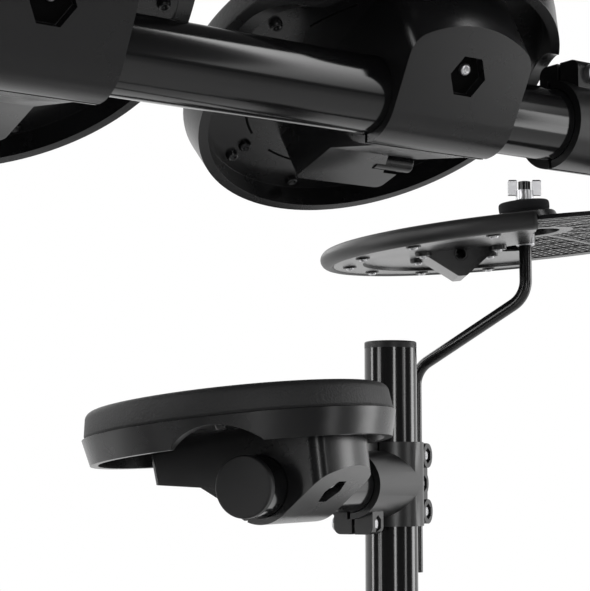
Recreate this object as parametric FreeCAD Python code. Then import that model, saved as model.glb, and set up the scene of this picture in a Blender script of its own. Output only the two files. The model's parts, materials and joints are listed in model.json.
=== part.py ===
"""Electronic drum kit: a four-post tube rack with pads, cymbal pads and a sound module.

Every piece is built where it stands on the kit and written to its own file.
Frame while building: X to the player's left, Y from the audience to the player, Z up,
with the middle of the front crossbar over the origin and the floor at Z = 0. The finished
kit is then moved so that the middle of its footprint is the origin.
"""
import FreeCAD, Part
import math
import os

Vec = FreeCAD.Vector
X_AXIS = Vec(1, 0, 0)
Y_AXIS = Vec(0, 1, 0)
Z_AXIS = Vec(0, 0, 1)
ORIGIN = Vec(0, 0, 0)

# How close an edge's middle has to be to a place to count as lying there
NEAR = 1.0

# Rack tube and the fits on it, in millimetres
TUBE_D = 38.1
TUBE_WALL = 1.5
GRIP_GAP = 0.3
PLUG_GAP = 0.05
TUBE_END_GAP = 2.0

# Rack layout
FRONT_POST_SPAN = 540.0
REAR_SPREAD = 71.6
RACK_DEPTH = 321.6
ARM_HEIGHT = 560.0
CROSSBAR_RISE = 191.0
SIDE_BAR_HEIGHT = 350.0
REAR_POST_RISE = 98.0
FRONT_POST_RISE = 62.0
CAP_HEIGHT = 5.0
CAP_ROUND = 1.2
PLUG_DEPTH = 14.0
FOOT_RADIUS = 27.0
FOOT_HEIGHT = 34.0
FOOT_SOLE = 8.0
FOOT_ROUND = 4.0

# Swinging arms that carry the snare and the floor tom
ARM_TURN = 29.07
ARM_REACH = 231.8
PAD_DISTANCE = 171.6
SNARE_TILT = 6.5

# Toms on the crossbar
TOM_SPACING = 222.2
TOM_TILT = 27.5

# Two-shell tee clamp: a collar round the post, a socket for the branch tube,
# ears under the socket and a back flange that grips a cymbal rod
CLAMP_WALL = 4.2
CLAMP_HEIGHT = 60.0
CLAMP_REACH = 76.0
CLAMP_SLIT = 1.6
EAR_LENGTH = 19.0
EAR_WIDTH = 29.0
EAR_REACH = 34.0
EAR_SETBACK = 7.5
EAR_SLIT = 2.2
EAR_ROUND = 5.0
FLANGE_WALL = 4.4
FLANGE_THICKNESS = 14.0
BOSS_RADIUS = 9.0
BOSS_PROUD = 8.0
MIDDLE_BOSS_PROUD = 5.0
BOSS_HEIGHT = 20.5
ROD_DISTANCE = 49.0

# Clamp bolts
BOLT_D = 6.0
BOLT_GAP = 0.2
NUT_FLATS = 10.0
NUT_DEPTH = 6.0
NUT_HEIGHT = 3.6
BOLT_END = 1.2
HEAD_D = 10.5
HEAD_HEIGHT = 4.0

# Drum pad, measured from the axis of the tube that carries it
PAD_RADIUS = 101.0
PAD_FOOT_RADIUS = 97.0
PAD_OFFSET = 29.6
PAD_BOTTOM = 24.8
PAD_SEAM = 41.4
SHELL_WALL = 5.0
SHELL_DECK = 3.0
SENSOR_RECESS = 1.6
SENSOR_THICKNESS = 1.2
SENSOR_GAP = 2.0
HEAD_THICKNESS = 17.4
HEAD_INSET = 1.6
HEAD_TAPER = 1.4
HEAD_ROUND = 5.0
SEAM_GROOVE = 0.8
NOTCH_GAP = 1.0
PAD_SCREW_D = 7.0
PAD_SCREW_HEIGHT = 2.6
PAD_SCREW_COUNT = 5
PAD_SCREW_RADIUS = 76.0

# Pad bracket: a body under the pad with a strap round the tube
BRACKET_WIDTH = 76.0
BRACKET_WALL = 4.0
BRACKET_FRONT = 51.0
BRACKET_ROUND = 10.0
BRACKET_SLOPE = 35.0
WINDOW_SIDE = 11.0
WINDOW_DEPTH = 5.0
WINDOW_DISTANCE = 31.6
WINDOW_BOLT_D = 7.0
WINDOW_BOLT_HEIGHT = 2.6
JACK_BOX_WIDTH = 56.0
JACK_BOX_REACH = 80.0
JACK_BOX_FLOOR = 9.5
JACK_BOX_MEET = 40.0
JACK_BOX_SLOPE = 9.0
JACK_BOX_LEAN = 3.0
JACK_BOX_ROUND = 4.0
JACK_D = 9.6
JACK_BORE_D = 6.5
JACK_BORE_DEPTH = 22.0
JACK_LENGTH = 24.0
JACK_OFFSET = 58.0
JACK_PROUD = 5.0
JACK_RECESS_GAP = 1.4
JACK_RECESS_WIDTH = 18.0
JACK_RECESS_RAKE = 10.0
JACK_SINK = 4.0
STRAP_SLIT = 2.0
STRAP_OPENS = 30.0

# Cymbal rods: two bends between a foot in the clamp and an upright tip
ROD_D = 9.0
ROD_BEND = 20.0
ROD_DROP = 66.0
ROD_RUN = 91.6
ROD_BEND_LOW = 85.0
ROD_BEND_RISE = 51.0
ROD_TIP = 43.0
ROD_TURN = -67.3
CRASH_ROD_TURN = -52.0

# Cymbal pad, measured from the plane of its rim
CYMBAL_RADIUS = 152.4
CYMBAL_RISE = 8.0
CYMBAL_THICKNESS = 3.0
BELL_RISE = 12.0
BELL_GAP = 0.7
BELL_FLARE = 5.0
BOW_INSET = 3.0
RUBBER_THICKNESS = 3.2
BEAD_HEIGHT = 12.5
BEAD_WIDTH = 9.0
RUBBER_GAP = 0.2
UNDER_RING_WIDTH = 22.0
UNDER_RING_DROP = 7.4
UNDER_RING_WALL = 2.0
UNDER_RING_GAP = 0.3
OPENING_HUB_BAND = 7.0
OPENING_RIM_BAND = 10.0
OPENING_RIB = 4.0
OPENING_SPANS = 6
OPENING_RINGS = 4
CYMBAL_HOLE_D = 15.0
CYMBAL_PLANE = 177.6
CYMBAL_TILT = 5.2
CYMBAL_TURN = 144.9
CYMBAL_LEAN_TURN = 161.2
PLAYING_TURN = -5.7
CRASH_TURN = 120.0
TRIGGER_GAP = 1.5
TRIGGER_LENGTH = 64.0
TRIGGER_WIDTH = 46.0
TRIGGER_SIDE_DROP = 2.0
TRIGGER_DROP = 24.0
TRIGGER_FLAT = 6.0
TRIGGER_ROUND = 2.0
JACK_HOLE_D = 10.0
JACK_HOLE_DEPTH = 2.0
JACK_HOLE_TILT = 5.0
JACK_HOLE_DROP = 8.0
FELT_D = 37.0
FELT_THICKNESS = 8.0
FELT_HOLE_D = 14.0
FELT_ROUND = 2.0
NUT_SEAT_GAP = 1.2
STOP_D = 14.0
STOP_HEIGHT = 12.0
STOP_SCREW_D = 5.0
STOP_SCREW_LENGTH = 6.0
WING_HUB_D = 13.0
WING_HUB_HEIGHT = 7.0
WING_SPAN = 24.0
WING_THICKNESS = 4.0
WING_HEIGHT = 15.0
WING_GAP = 11.0

# Sound module on the front right post
MODULE_WIDTH = 190.0
MODULE_DEPTH = 130.0
MODULE_BACK_HEIGHT = 46.0
MODULE_FRONT_HEIGHT = 28.0
MODULE_ROUND = 6.0
MODULE_DROP = 146.0
MODULE_OUT = 130.0
MODULE_TILT = 20.0
LUG_WIDTH = 26.0
LUG_DROP = 22.0
LUG_RADIUS = 11.0
HINGE_PIN_D = 8.0
HINGE_GAP = 0.1
HINGE_SIDE_GAP = 0.3
HINGE_EAR = 6.0
BAR_DEPTH = 34.0
BAR_THICKNESS = 8.0
BRACKET_COLLAR_HEIGHT = 44.0
DIAL_D = 40.0
DIAL_HEIGHT = 12.0
VOLUME_D = 16.0
VOLUME_HEIGHT = 14.0
KNOB_LIFT = 0.4
KNOB_ROUND = 1.5
SPINDLE_D = 6.0
SPINDLE_DEPTH = 8.0
SPINDLE_GAP = 0.1
BUTTON_WIDTH = 20.0
BUTTON_DEPTH = 10.0
BUTTON_PROUD = 3.0
BUTTON_WELL = 6.0
BUTTON_GAP = 0.4
BUTTON_TRAVEL = 1.5
BUTTON_FLOOR_GAP = 0.5
BUTTON_ROUND = 1.0
DISPLAY_WIDTH = 64.0
DISPLAY_DEPTH = 30.0
DISPLAY_SINK = 1.2

# Sizes that follow from the driving ones
TUBE_R = TUBE_D / 2
GRIP_R = TUBE_R + GRIP_GAP
CLAMP_R = GRIP_R + CLAMP_WALL
ROD_R = ROD_D / 2
ROD_GRIP_R = ROD_R + PLUG_GAP
CROSSBAR_HEIGHT = ARM_HEIGHT + CROSSBAR_RISE
BRACKET_R = GRIP_R + BRACKET_WALL
DECK_UNDER = PAD_SEAM - SENSOR_RECESS - SHELL_DECK
EAR_CORNER = math.hypot(EAR_REACH - EAR_ROUND, EAR_WIDTH / 2 - EAR_ROUND) + EAR_ROUND
NOTCH_R = EAR_CORNER + NOTCH_GAP
FRONT_POST_X = FRONT_POST_SPAN / 2
REAR_POST_X = FRONT_POST_X + REAR_SPREAD
SIDE_TURN = math.degrees(math.atan2(RACK_DEPTH, REAR_SPREAD))
BOW_COVERED_R = CYMBAL_RADIUS - BEAD_WIDTH
TRIGGER_NEAR = FELT_D / 2 + TRIGGER_GAP
TRIGGER_FAR = TRIGGER_NEAR + TRIGGER_LENGTH
BELL_TOP = CYMBAL_RISE + BELL_RISE
BELL_TOP_R = FELT_D / 2 + BELL_GAP + CYMBAL_THICKNESS
BELL_FOOT_R = BELL_TOP_R + BELL_FLARE
ROCK_HEIGHT = BELL_TOP - CYMBAL_THICKNESS / 2

parts = {}


def cylinder(radius, height, base=ORIGIN, axis=Z_AXIS):
    """A plain cylinder."""
    return Part.makeCylinder(radius, height, base, axis)


def box(low, high):
    """A box between two corners."""
    size = high - low
    return Part.makeBox(size.x, size.y, size.z, low)


def prism(points, direction):
    """A straight-sided solid on a closed outline of points."""
    outline = Part.makePolygon(points + [points[0]])
    return Part.Face(outline).extrude(direction)


def spun(points, angle=360.0):
    """A solid of revolution about Z from an outline in the XZ plane."""
    outline = Part.makePolygon(points + [points[0]])
    return Part.Face(outline).revolve(ORIGIN, Z_AXIS, angle)


def hexagon(side, height, base, axis, across):
    """A hexagonal prism with one corner in the direction across."""
    other = axis.cross(across)
    points = []
    for step in range(6):
        angle = math.radians(60 * step)
        points.append(base + across * (side * math.cos(angle)) + other * (side * math.sin(angle)))
    return prism(points, axis * height)


def edges_where(shape, test):
    """The edges of a shape whose middle point passes a test."""
    chosen = []
    for edge in shape.Edges:
        middle = edge.valueAt((edge.FirstParameter + edge.LastParameter) / 2)
        if test(edge, middle):
            chosen.append(edge)
    return chosen


def is_upright(edge):
    """Whether an edge runs along Z."""
    run = edge.valueAt(edge.LastParameter) - edge.valueAt(edge.FirstParameter)
    return math.hypot(run.x, run.y) < NEAR < abs(run.z)


def mirror_image(shape):
    """A shape's mirror image across the YZ plane."""
    return shape.mirror(ORIGIN, X_AXIS)


def moved(shape, place):
    """A copy of a shape at a placement."""
    copy = shape.copy()
    copy.Placement = place.multiply(copy.Placement)
    return copy


def turned(angle, axis=Z_AXIS):
    """A placement that only turns."""
    return FreeCAD.Placement(ORIGIN, FreeCAD.Rotation(axis, angle))


def shifted(offset):
    """A placement that only shifts."""
    return FreeCAD.Placement(offset, FreeCAD.Rotation())


def polar(angle, distance):
    """A level vector from an angle in degrees and a length."""
    return Vec(distance * math.cos(math.radians(angle)), distance * math.sin(math.radians(angle)), 0)


def tube(start, end):
    """A length of rack tube."""
    run = end - start
    outside = cylinder(TUBE_R, run.Length, start, run)
    return outside.cut(cylinder(TUBE_R - TUBE_WALL, run.Length, start, run))


def end_plug():
    """The plastic plug of a tube end, on Z, with its flange on the tube's end at Z = 0."""
    flange = cylinder(TUBE_R, CAP_HEIGHT)
    flange = flange.makeFillet(CAP_ROUND, edges_where(flange, lambda e, m: m.z > CAP_HEIGHT / 2 and e.Closed))
    spigot = cylinder(TUBE_R - TUBE_WALL - PLUG_GAP, PLUG_DEPTH, Vec(0, 0, -PLUG_DEPTH))
    return flange.fuse(spigot).removeSplitter()


def post_foot():
    """The rubber foot of a post, standing on Z = 0 with a blind hole for the tube."""
    block = Part.makeCone(FOOT_RADIUS, TUBE_R + FOOT_ROUND, FOOT_HEIGHT)
    rim = edges_where(block, lambda e, m: e.Closed and m.z > FOOT_HEIGHT / 2)
    block = block.makeFillet(FOOT_ROUND / 2, rim)
    return block.cut(cylinder(TUBE_R + PLUG_GAP, FOOT_HEIGHT, Vec(0, 0, FOOT_SOLE)))


def clamp_bolt_places():
    """Where the bolts of a tee clamp cross it: x, z and the half thickness under the head."""
    ear_x = CLAMP_REACH - EAR_SETBACK - EAR_LENGTH / 2
    ear_z = -(GRIP_R + EAR_REACH) / 2 - BOLT_GAP
    flange_x = -(GRIP_R + ROD_DISTANCE - ROD_GRIP_R) / 2 - BOLT_D / 2
    flange_half = FLANGE_THICKNESS / 2
    return [
        (ear_x, ear_z, EAR_WIDTH / 2),
        (flange_x, BOSS_HEIGHT, flange_half + BOSS_PROUD),
        (flange_x, 0.0, flange_half + MIDDLE_BOSS_PROUD),
        (flange_x, -BOSS_HEIGHT, flange_half + BOSS_PROUD),
    ]


def tee_clamp_body():
    """The outer form of a tee clamp, with the post on Z and the branch along +X."""
    body = cylinder(CLAMP_R, CLAMP_HEIGHT, Vec(0, 0, -CLAMP_HEIGHT / 2))
    body = body.fuse(cylinder(CLAMP_R, CLAMP_REACH, ORIGIN, X_AXIS))
    ear_end = CLAMP_REACH - EAR_SETBACK
    ears = box(
        Vec(ear_end - EAR_LENGTH, -EAR_WIDTH / 2, -EAR_REACH),
        Vec(ear_end, EAR_WIDTH / 2, 0),
    )
    half_ear = EAR_WIDTH / 2
    low_edges = edges_where(ears, lambda e, m: m.z < NEAR - EAR_REACH and abs(m.y) > half_ear - NEAR)
    ears = ears.makeFillet(EAR_ROUND, low_edges)
    body = body.fuse(ears)
    flange_end = ROD_DISTANCE + ROD_R + FLANGE_WALL
    flange = box(
        Vec(-flange_end, -FLANGE_THICKNESS / 2, -CLAMP_HEIGHT / 2),
        Vec(0, FLANGE_THICKNESS / 2, CLAMP_HEIGHT / 2),
    )
    back_edges = edges_where(flange, lambda e, m: abs(m.x + flange_end) < NEAR and abs(m.z) < NEAR)
    flange = flange.makeFillet(FLANGE_WALL, back_edges)
    body = body.fuse(flange)
    for x, z, half in clamp_bolt_places()[1:]:
        body = body.fuse(cylinder(BOSS_RADIUS, 2 * half, Vec(x, -half, z), Y_AXIS))
    return body


def tee_clamp():
    """The two shells of a tee clamp."""
    body = tee_clamp_body()
    body = body.cut(cylinder(GRIP_R, CLAMP_HEIGHT, Vec(0, 0, -CLAMP_HEIGHT / 2)))
    body = body.cut(cylinder(GRIP_R, CLAMP_REACH, ORIGIN, X_AXIS))
    body = body.cut(cylinder(ROD_GRIP_R, CLAMP_HEIGHT, Vec(-ROD_DISTANCE, 0, -CLAMP_HEIGHT / 2)))
    for x, z, half in clamp_bolt_places():
        body = body.cut(cylinder(BOLT_D / 2 + BOLT_GAP, 2 * half, Vec(x, -half, z), Y_AXIS))
        side = NUT_FLATS / math.sqrt(3) + BOLT_GAP
        body = body.cut(hexagon(side, NUT_DEPTH, Vec(x, half - NUT_DEPTH, z), Y_AXIS, Z_AXIS))
    reach = CLAMP_REACH + FLANGE_WALL
    for slit, start in ((EAR_SLIT, CLAMP_REACH - EAR_SETBACK - EAR_LENGTH), (CLAMP_SLIT, -reach)):
        body = body.cut(box(Vec(start, -slit / 2, -reach), Vec(reach, slit / 2, reach)))
    return sorted(body.Solids, key=lambda solid: solid.CenterOfMass.y)


def clamp_bolts():
    """The bolts and nuts of one tee clamp."""
    pieces = []
    for x, z, half in clamp_bolt_places():
        nut_base = half - NUT_DEPTH
        shank = cylinder(BOLT_D / 2, half + nut_base + NUT_HEIGHT + BOLT_END, Vec(x, -half, z), Y_AXIS)
        head = cylinder(HEAD_D / 2, HEAD_HEIGHT, Vec(x, -half - HEAD_HEIGHT, z), Y_AXIS)
        outer_rim = edges_where(head, lambda e, m: e.Closed and m.y < -half - NEAR)
        head = head.makeFillet(HEAD_HEIGHT / 3, outer_rim)
        nut = hexagon(NUT_FLATS / math.sqrt(3), NUT_HEIGHT, Vec(x, nut_base, z), Y_AXIS, Z_AXIS)
        pieces.append(shank.fuse(head).fuse(nut).removeSplitter())
    return pieces


def pad_shell():
    """The tray under a pad's head, with a notch over the tube at both sides."""
    foot_inside = PAD_FOOT_RADIUS - SHELL_WALL
    lip_inside = PAD_RADIUS - 2 * SHELL_WALL
    deck_top = DECK_UNDER + SHELL_DECK
    tray = spun([
        Vec(0, 0, DECK_UNDER),
        Vec(foot_inside, 0, DECK_UNDER),
        Vec(foot_inside, 0, PAD_BOTTOM),
        Vec(PAD_FOOT_RADIUS, 0, PAD_BOTTOM),
        Vec(PAD_RADIUS, 0, PAD_SEAM),
        Vec(lip_inside, 0, PAD_SEAM),
        Vec(lip_inside, 0, deck_top),
        Vec(0, 0, deck_top),
    ])
    tray.translate(Vec(0, PAD_OFFSET, 0))
    notch = cylinder(NOTCH_R, 4 * PAD_RADIUS, Vec(-2 * PAD_RADIUS, 0, 0), X_AXIS)
    below_deck = box(Vec(-2 * PAD_RADIUS, -NOTCH_R, 0), Vec(2 * PAD_RADIUS, NOTCH_R, DECK_UNDER))
    return tray.cut(notch.common(below_deck))


def pad_head():
    """The rubber playing head, seated on the lip of the shell."""
    seat = PAD_SEAM
    top = seat + HEAD_THICKNESS
    wide = PAD_RADIUS - HEAD_INSET
    disc = spun([
        Vec(0, 0, seat),
        Vec(wide - SEAM_GROOVE, 0, seat),
        Vec(wide - SEAM_GROOVE, 0, seat + SEAM_GROOVE),
        Vec(wide, 0, seat + 2 * SEAM_GROOVE),
        Vec(wide - HEAD_TAPER, 0, top),
        Vec(0, 0, top),
    ])
    rim = edges_where(disc, lambda e, m: m.z > top - HEAD_ROUND / 2 and math.hypot(m.x, m.y) > wide / 2)
    disc = disc.makeFillet(HEAD_ROUND, rim)
    disc.translate(Vec(0, PAD_OFFSET, 0))
    return disc


def pad_screw_places():
    """Where the head's screws stand under the deck, clear of the bracket."""
    places = []
    for step in range(PAD_SCREW_COUNT):
        angle = 180.0 * (step + 0.5) / PAD_SCREW_COUNT
        places.append(Vec(0, PAD_OFFSET, DECK_UNDER) + polar(angle, PAD_SCREW_RADIUS))
    return [place for place in places if abs(place.x) > JACK_BOX_WIDTH / 2 + PAD_SCREW_D]


def slope_frame():
    """The outward direction of the bracket's sloping face and the direction up the slope."""
    slope = math.radians(BRACKET_SLOPE)
    return Vec(0, -math.sin(slope), -math.cos(slope)), Vec(0, -math.cos(slope), math.sin(slope))


def window_centre():
    """The middle of the hexagonal window on the sloping face."""
    outward, upward = slope_frame()
    along = math.sqrt(max(WINDOW_DISTANCE ** 2 - BRACKET_R ** 2, 0))
    return outward * BRACKET_R + upward * along


def pad_hardware():
    """The steel pieces of a pad: the sensor plate, the clamping bolt and the deck screws."""
    deck_top = DECK_UNDER + SHELL_DECK
    plate_r = PAD_RADIUS - 2 * SHELL_WALL - SENSOR_GAP
    pieces = [cylinder(plate_r, SENSOR_THICKNESS, Vec(0, PAD_OFFSET, deck_top))]
    outward, upward = slope_frame()
    base = window_centre() - outward * WINDOW_DEPTH
    pieces.append(cylinder(WINDOW_BOLT_D / 2, WINDOW_BOLT_HEIGHT, base, outward))
    for place in pad_screw_places():
        head = cylinder(PAD_SCREW_D / 2, PAD_SCREW_HEIGHT, place - Z_AXIS * PAD_SCREW_HEIGHT)
        pieces.append(head)
    return pieces


def bracket_strap():
    """The part of a pad bracket that wraps the tube and carries the sloping face."""
    outward, upward = slope_frame()
    foot = outward * BRACKET_R
    climb = (BRACKET_FRONT + foot.y) / math.cos(math.radians(BRACKET_SLOPE))
    corner = foot + upward * climb
    end = Vec(-BRACKET_WIDTH / 2, 0, 0)
    wedge = prism([
        end + foot,
        end + corner,
        end + Vec(0, corner.y, DECK_UNDER),
        end + Vec(0, BRACKET_R, DECK_UNDER),
        end + Vec(0, BRACKET_R, 0),
        end,
    ], X_AXIS * BRACKET_WIDTH)
    front_r = BRACKET_FRONT + PAD_OFFSET
    round_front = cylinder(front_r, DECK_UNDER + 2 * BRACKET_R, Vec(0, PAD_OFFSET, -2 * BRACKET_R))
    body = wedge.common(round_front)
    side = BRACKET_WIDTH / 2
    front = edges_where(body, lambda e, m: abs(abs(m.x) - side) < NEAR and m.y < -BRACKET_R)
    corners = [edge for edge in front if is_upright(edge)]
    body = body.makeFillet(BRACKET_ROUND, corners)
    return body.fuse(cylinder(BRACKET_R, BRACKET_WIDTH, end, X_AXIS))


def jack_floor(y):
    """The height of the jack box's sloping floor at a distance from the tube."""
    return JACK_BOX_FLOOR - (JACK_BOX_REACH - y) * math.tan(math.radians(JACK_BOX_SLOPE))


def jack_box():
    """The housing on the player's side of a bracket, with an open recess for the jack."""
    end = Vec(-JACK_BOX_WIDTH / 2, 0, 0)
    knee = 2 * BRACKET_R
    meet = math.radians(JACK_BOX_MEET)
    block = prism([
        end + Vec(0, 0, DECK_UNDER),
        end + Vec(0, JACK_BOX_REACH + JACK_BOX_LEAN, DECK_UNDER),
        end + Vec(0, JACK_BOX_REACH, JACK_BOX_FLOOR),
        end + Vec(0, knee, jack_floor(knee)),
        end + Vec(0, BRACKET_R * math.sin(meet), -BRACKET_R * math.cos(meet)),
        end,
    ], X_AXIS * JACK_BOX_WIDTH)
    middle = (JACK_BOX_FLOOR + DECK_UNDER) / 2
    outer = edges_where(block, lambda e, m: m.y > JACK_BOX_REACH and abs(m.z - middle) < NEAR)
    block = block.makeFillet(JACK_BOX_ROUND, outer)
    base = jack_base()
    far_y = JACK_OFFSET + JACK_D / 2 + JACK_RECESS_GAP
    near_y = far_y - JACK_RECESS_WIDTH
    far_x = base.x + JACK_RECESS_RAKE
    level = base.z - 2 * JACK_D
    recess = prism([
        Vec(base.x, near_y, level),
        Vec(far_x, far_y, level),
        Vec(JACK_BOX_WIDTH, far_y, level),
        Vec(JACK_BOX_WIDTH, near_y, level),
    ], Z_AXIS * (2 * JACK_D + JACK_D / 2 + JACK_RECESS_GAP))
    return block.cut(recess).cut(cylinder(JACK_D / 2 + PLUG_GAP, JACK_LENGTH, base, X_AXIS))


def jack_base():
    """The middle of the inner end of a pad's jack barrel."""
    start = JACK_BOX_WIDTH / 2 + JACK_PROUD - JACK_LENGTH
    return Vec(start, JACK_OFFSET, jack_floor(JACK_OFFSET) + JACK_SINK)


def jack_barrel():
    """The jack socket's barrel, seated in the jack box and open to its recess."""
    base = jack_base()
    barrel = cylinder(JACK_D / 2, JACK_LENGTH, base, X_AXIS)
    outer_rim = edges_where(barrel, lambda e, m: e.Closed and m.x > base.x + NEAR)
    barrel = barrel.makeFillet(JACK_D / 12, outer_rim)
    mouth = base + X_AXIS * (JACK_LENGTH - JACK_BORE_DEPTH)
    return barrel.cut(cylinder(JACK_BORE_D / 2, JACK_BORE_DEPTH, mouth, X_AXIS))


def pad_bracket():
    """The moulded bracket of a pad and the jack barrel in it."""
    body = bracket_strap().fuse(jack_box()).removeSplitter()
    body = body.cut(cylinder(GRIP_R, 2 * BRACKET_WIDTH, Vec(-BRACKET_WIDTH, 0, 0), X_AXIS))
    outward, upward = slope_frame()
    centre = window_centre()
    body = body.cut(hexagon(WINDOW_SIDE, 2 * WINDOW_DEPTH, centre - outward * WINDOW_DEPTH, outward, X_AXIS))
    slit = box(Vec(-BRACKET_WIDTH, -STRAP_SLIT / 2, -2 * BRACKET_R), Vec(BRACKET_WIDTH, STRAP_SLIT / 2, 0))
    body = body.cut(moved(slit, turned(STRAP_OPENS, X_AXIS)))
    return [body, jack_barrel()]


def pad_pieces():
    """All pieces of one drum pad on a tube that lies along X."""
    return {
        "head": [pad_head()],
        "shell": [pad_shell()],
        "hardware": pad_hardware(),
        "bracket": pad_bracket(),
    }


def dome_height(radius):
    """The height of a cymbal's top surface, a part of a ball, over its rim plane."""
    ball = (CYMBAL_RADIUS ** 2 + CYMBAL_RISE ** 2) / (2 * CYMBAL_RISE)
    return math.sqrt(ball ** 2 - radius ** 2) - ball + CYMBAL_RISE


def dome_ring(inner, outer, low, high, angle=360.0):
    """A ring between two surfaces that follow the cymbal's dome at fixed offsets."""
    middle = (inner + outer) / 2
    arcs = []
    for offset in (low, high):
        points = [Vec(r, 0, dome_height(r) + offset) for r in (inner, middle, outer)]
        arcs.append(points)
    bottom, top = arcs
    outline = Part.Wire([
        Part.Arc(bottom[0], bottom[1], bottom[2]).toShape(),
        Part.makeLine(bottom[2], top[2]),
        Part.Arc(top[2], top[1], top[0]).toShape(),
        Part.makeLine(top[0], bottom[0]),
    ])
    return Part.Face(outline).revolve(ORIGIN, Z_AXIS, angle)


def dome_arc(inner, outer, offset):
    """The three points of an arc that follows the cymbal's dome between two radii."""
    return [Vec(r, 0, dome_height(r) + offset) for r in (inner, (inner + outer) / 2, outer)]


def bell_and_bow():
    """The whole round of a cymbal's moulding: a raised bell in the middle of a shallow bow."""
    wall = CYMBAL_THICKNESS
    hole = CYMBAL_HOLE_D / 2
    top = dome_arc(BELL_FOOT_R, CYMBAL_RADIUS - BOW_INSET, 0)
    under = dome_arc(BELL_FOOT_R - wall, CYMBAL_RADIUS - BOW_INSET, -wall)
    bell = [
        under[0],
        Vec(BELL_TOP_R - wall, 0, BELL_TOP - wall),
        Vec(hole, 0, BELL_TOP - wall),
        Vec(hole, 0, BELL_TOP),
        Vec(BELL_TOP_R, 0, BELL_TOP),
        top[0],
    ]
    edges = [Part.makeLine(start, end) for start, end in zip(bell, bell[1:])]
    edges.append(Part.Arc(*top).toShape())
    edges.append(Part.makeLine(top[2], under[2]))
    edges.append(Part.Arc(under[2], under[1], under[0]).toShape())
    return Part.Face(Part.Wire(edges)).revolve(ORIGIN, Z_AXIS, 360)


def under_ring():
    """The channel that is screwed under the rim of the playing half."""
    outer = BOW_COVERED_R
    inner = outer - UNDER_RING_WIDTH
    wall = UNDER_RING_WALL
    low = -UNDER_RING_DROP
    seat = CYMBAL_THICKNESS + UNDER_RING_GAP
    ring = spun([
        Vec(inner, 0, low),
        Vec(outer, 0, low),
        Vec(outer, 0, dome_height(outer) - seat),
        Vec(outer - wall, 0, dome_height(outer - wall) - seat),
        Vec(outer - wall, 0, low + wall),
        Vec(inner + wall, 0, low + wall),
        Vec(inner + wall, 0, dome_height(inner + wall) - seat),
        Vec(inner, 0, dome_height(inner) - seat),
    ], 180.0)
    return moved(ring, turned(PLAYING_TURN - 90))


def opening_corner(radius, turn, side):
    """A corner of an opening, beside the rib that runs outward at a turn."""
    return polar(turn, radius) + polar(turn + 90, side * OPENING_RIB / 2) - Z_AXIS * BELL_TOP


def bow_openings():
    """The grid of openings in the bare half, in rings between straight ribs."""
    inner = BELL_FOOT_R + OPENING_HUB_BAND
    outer = CYMBAL_RADIUS - BOW_INSET - OPENING_RIM_BAND
    pitch = (outer - inner + OPENING_RIB) / OPENING_RINGS
    span = 180.0 / OPENING_SPANS
    openings = []
    for ring in range(OPENING_RINGS):
        near = inner + ring * pitch
        far = near + pitch - OPENING_RIB
        for index in range(OPENING_SPANS):
            first = 90 + PLAYING_TURN + index * span
            last = first + span
            openings.append(prism([
                opening_corner(near, first, 1),
                opening_corner(far, first, 1),
                opening_corner(far, last, -1),
                opening_corner(near, last, -1),
            ], Z_AXIS * (2 * BELL_TOP)))
    return openings


def cymbal_bow():
    """The moulding of a cymbal pad: narrower under the rubber, wider and open where it is bare."""
    depth = 2 * BELL_TOP
    ring = cylinder(CYMBAL_RADIUS, depth, Vec(0, 0, -depth / 2))
    ring = ring.cut(cylinder(BOW_COVERED_R, depth, Vec(0, 0, -depth / 2)))
    playing_half = box(Vec(0, -CYMBAL_RADIUS, -depth), Vec(CYMBAL_RADIUS, CYMBAL_RADIUS, depth))
    bow = bell_and_bow().cut(ring.common(moved(playing_half, turned(PLAYING_TURN))))
    return bow.cut(bow_openings())


def cymbal_rubber():
    """The rubber playing half, with a round bead along the rim."""
    layer_low = RUBBER_GAP
    layer_high = RUBBER_GAP + RUBBER_THICKNESS
    round_r = BEAD_HEIGHT / 2
    bead_in = BOW_COVERED_R + RUBBER_GAP
    bead_out = CYMBAL_RADIUS - round_r
    top = dome_height(bead_out) + layer_high
    layer = dome_ring(BELL_FOOT_R + RUBBER_GAP, bead_out, layer_low, layer_high, 180.0)
    low = top - BEAD_HEIGHT
    tip = Vec(CYMBAL_RADIUS, 0, low + round_r)
    nose = Part.Arc(Vec(bead_out, 0, low), tip, Vec(bead_out, 0, top)).toShape()
    outline = Part.Wire([
        Part.makeLine(Vec(bead_in, 0, low), Vec(bead_out, 0, low)),
        nose,
        Part.makeLine(Vec(bead_out, 0, top), Vec(bead_in, 0, top)),
        Part.makeLine(Vec(bead_in, 0, top), Vec(bead_in, 0, low)),
    ])
    bead = Part.Face(outline).revolve(ORIGIN, Z_AXIS, 180.0)
    return moved(layer.fuse(bead).removeSplitter(), turned(PLAYING_TURN - 90))


def trigger_jack():
    """The middle of a cymbal's jack hole on the trigger box's side, and the way that a plug leaves it."""
    tilt = math.radians(JACK_HOLE_TILT)
    mouth = Vec((TRIGGER_NEAR + TRIGGER_FAR) / 2, TRIGGER_WIDTH / 2, -JACK_HOLE_DROP)
    return mouth, Vec(0, math.cos(tilt), -math.sin(tilt))


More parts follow.
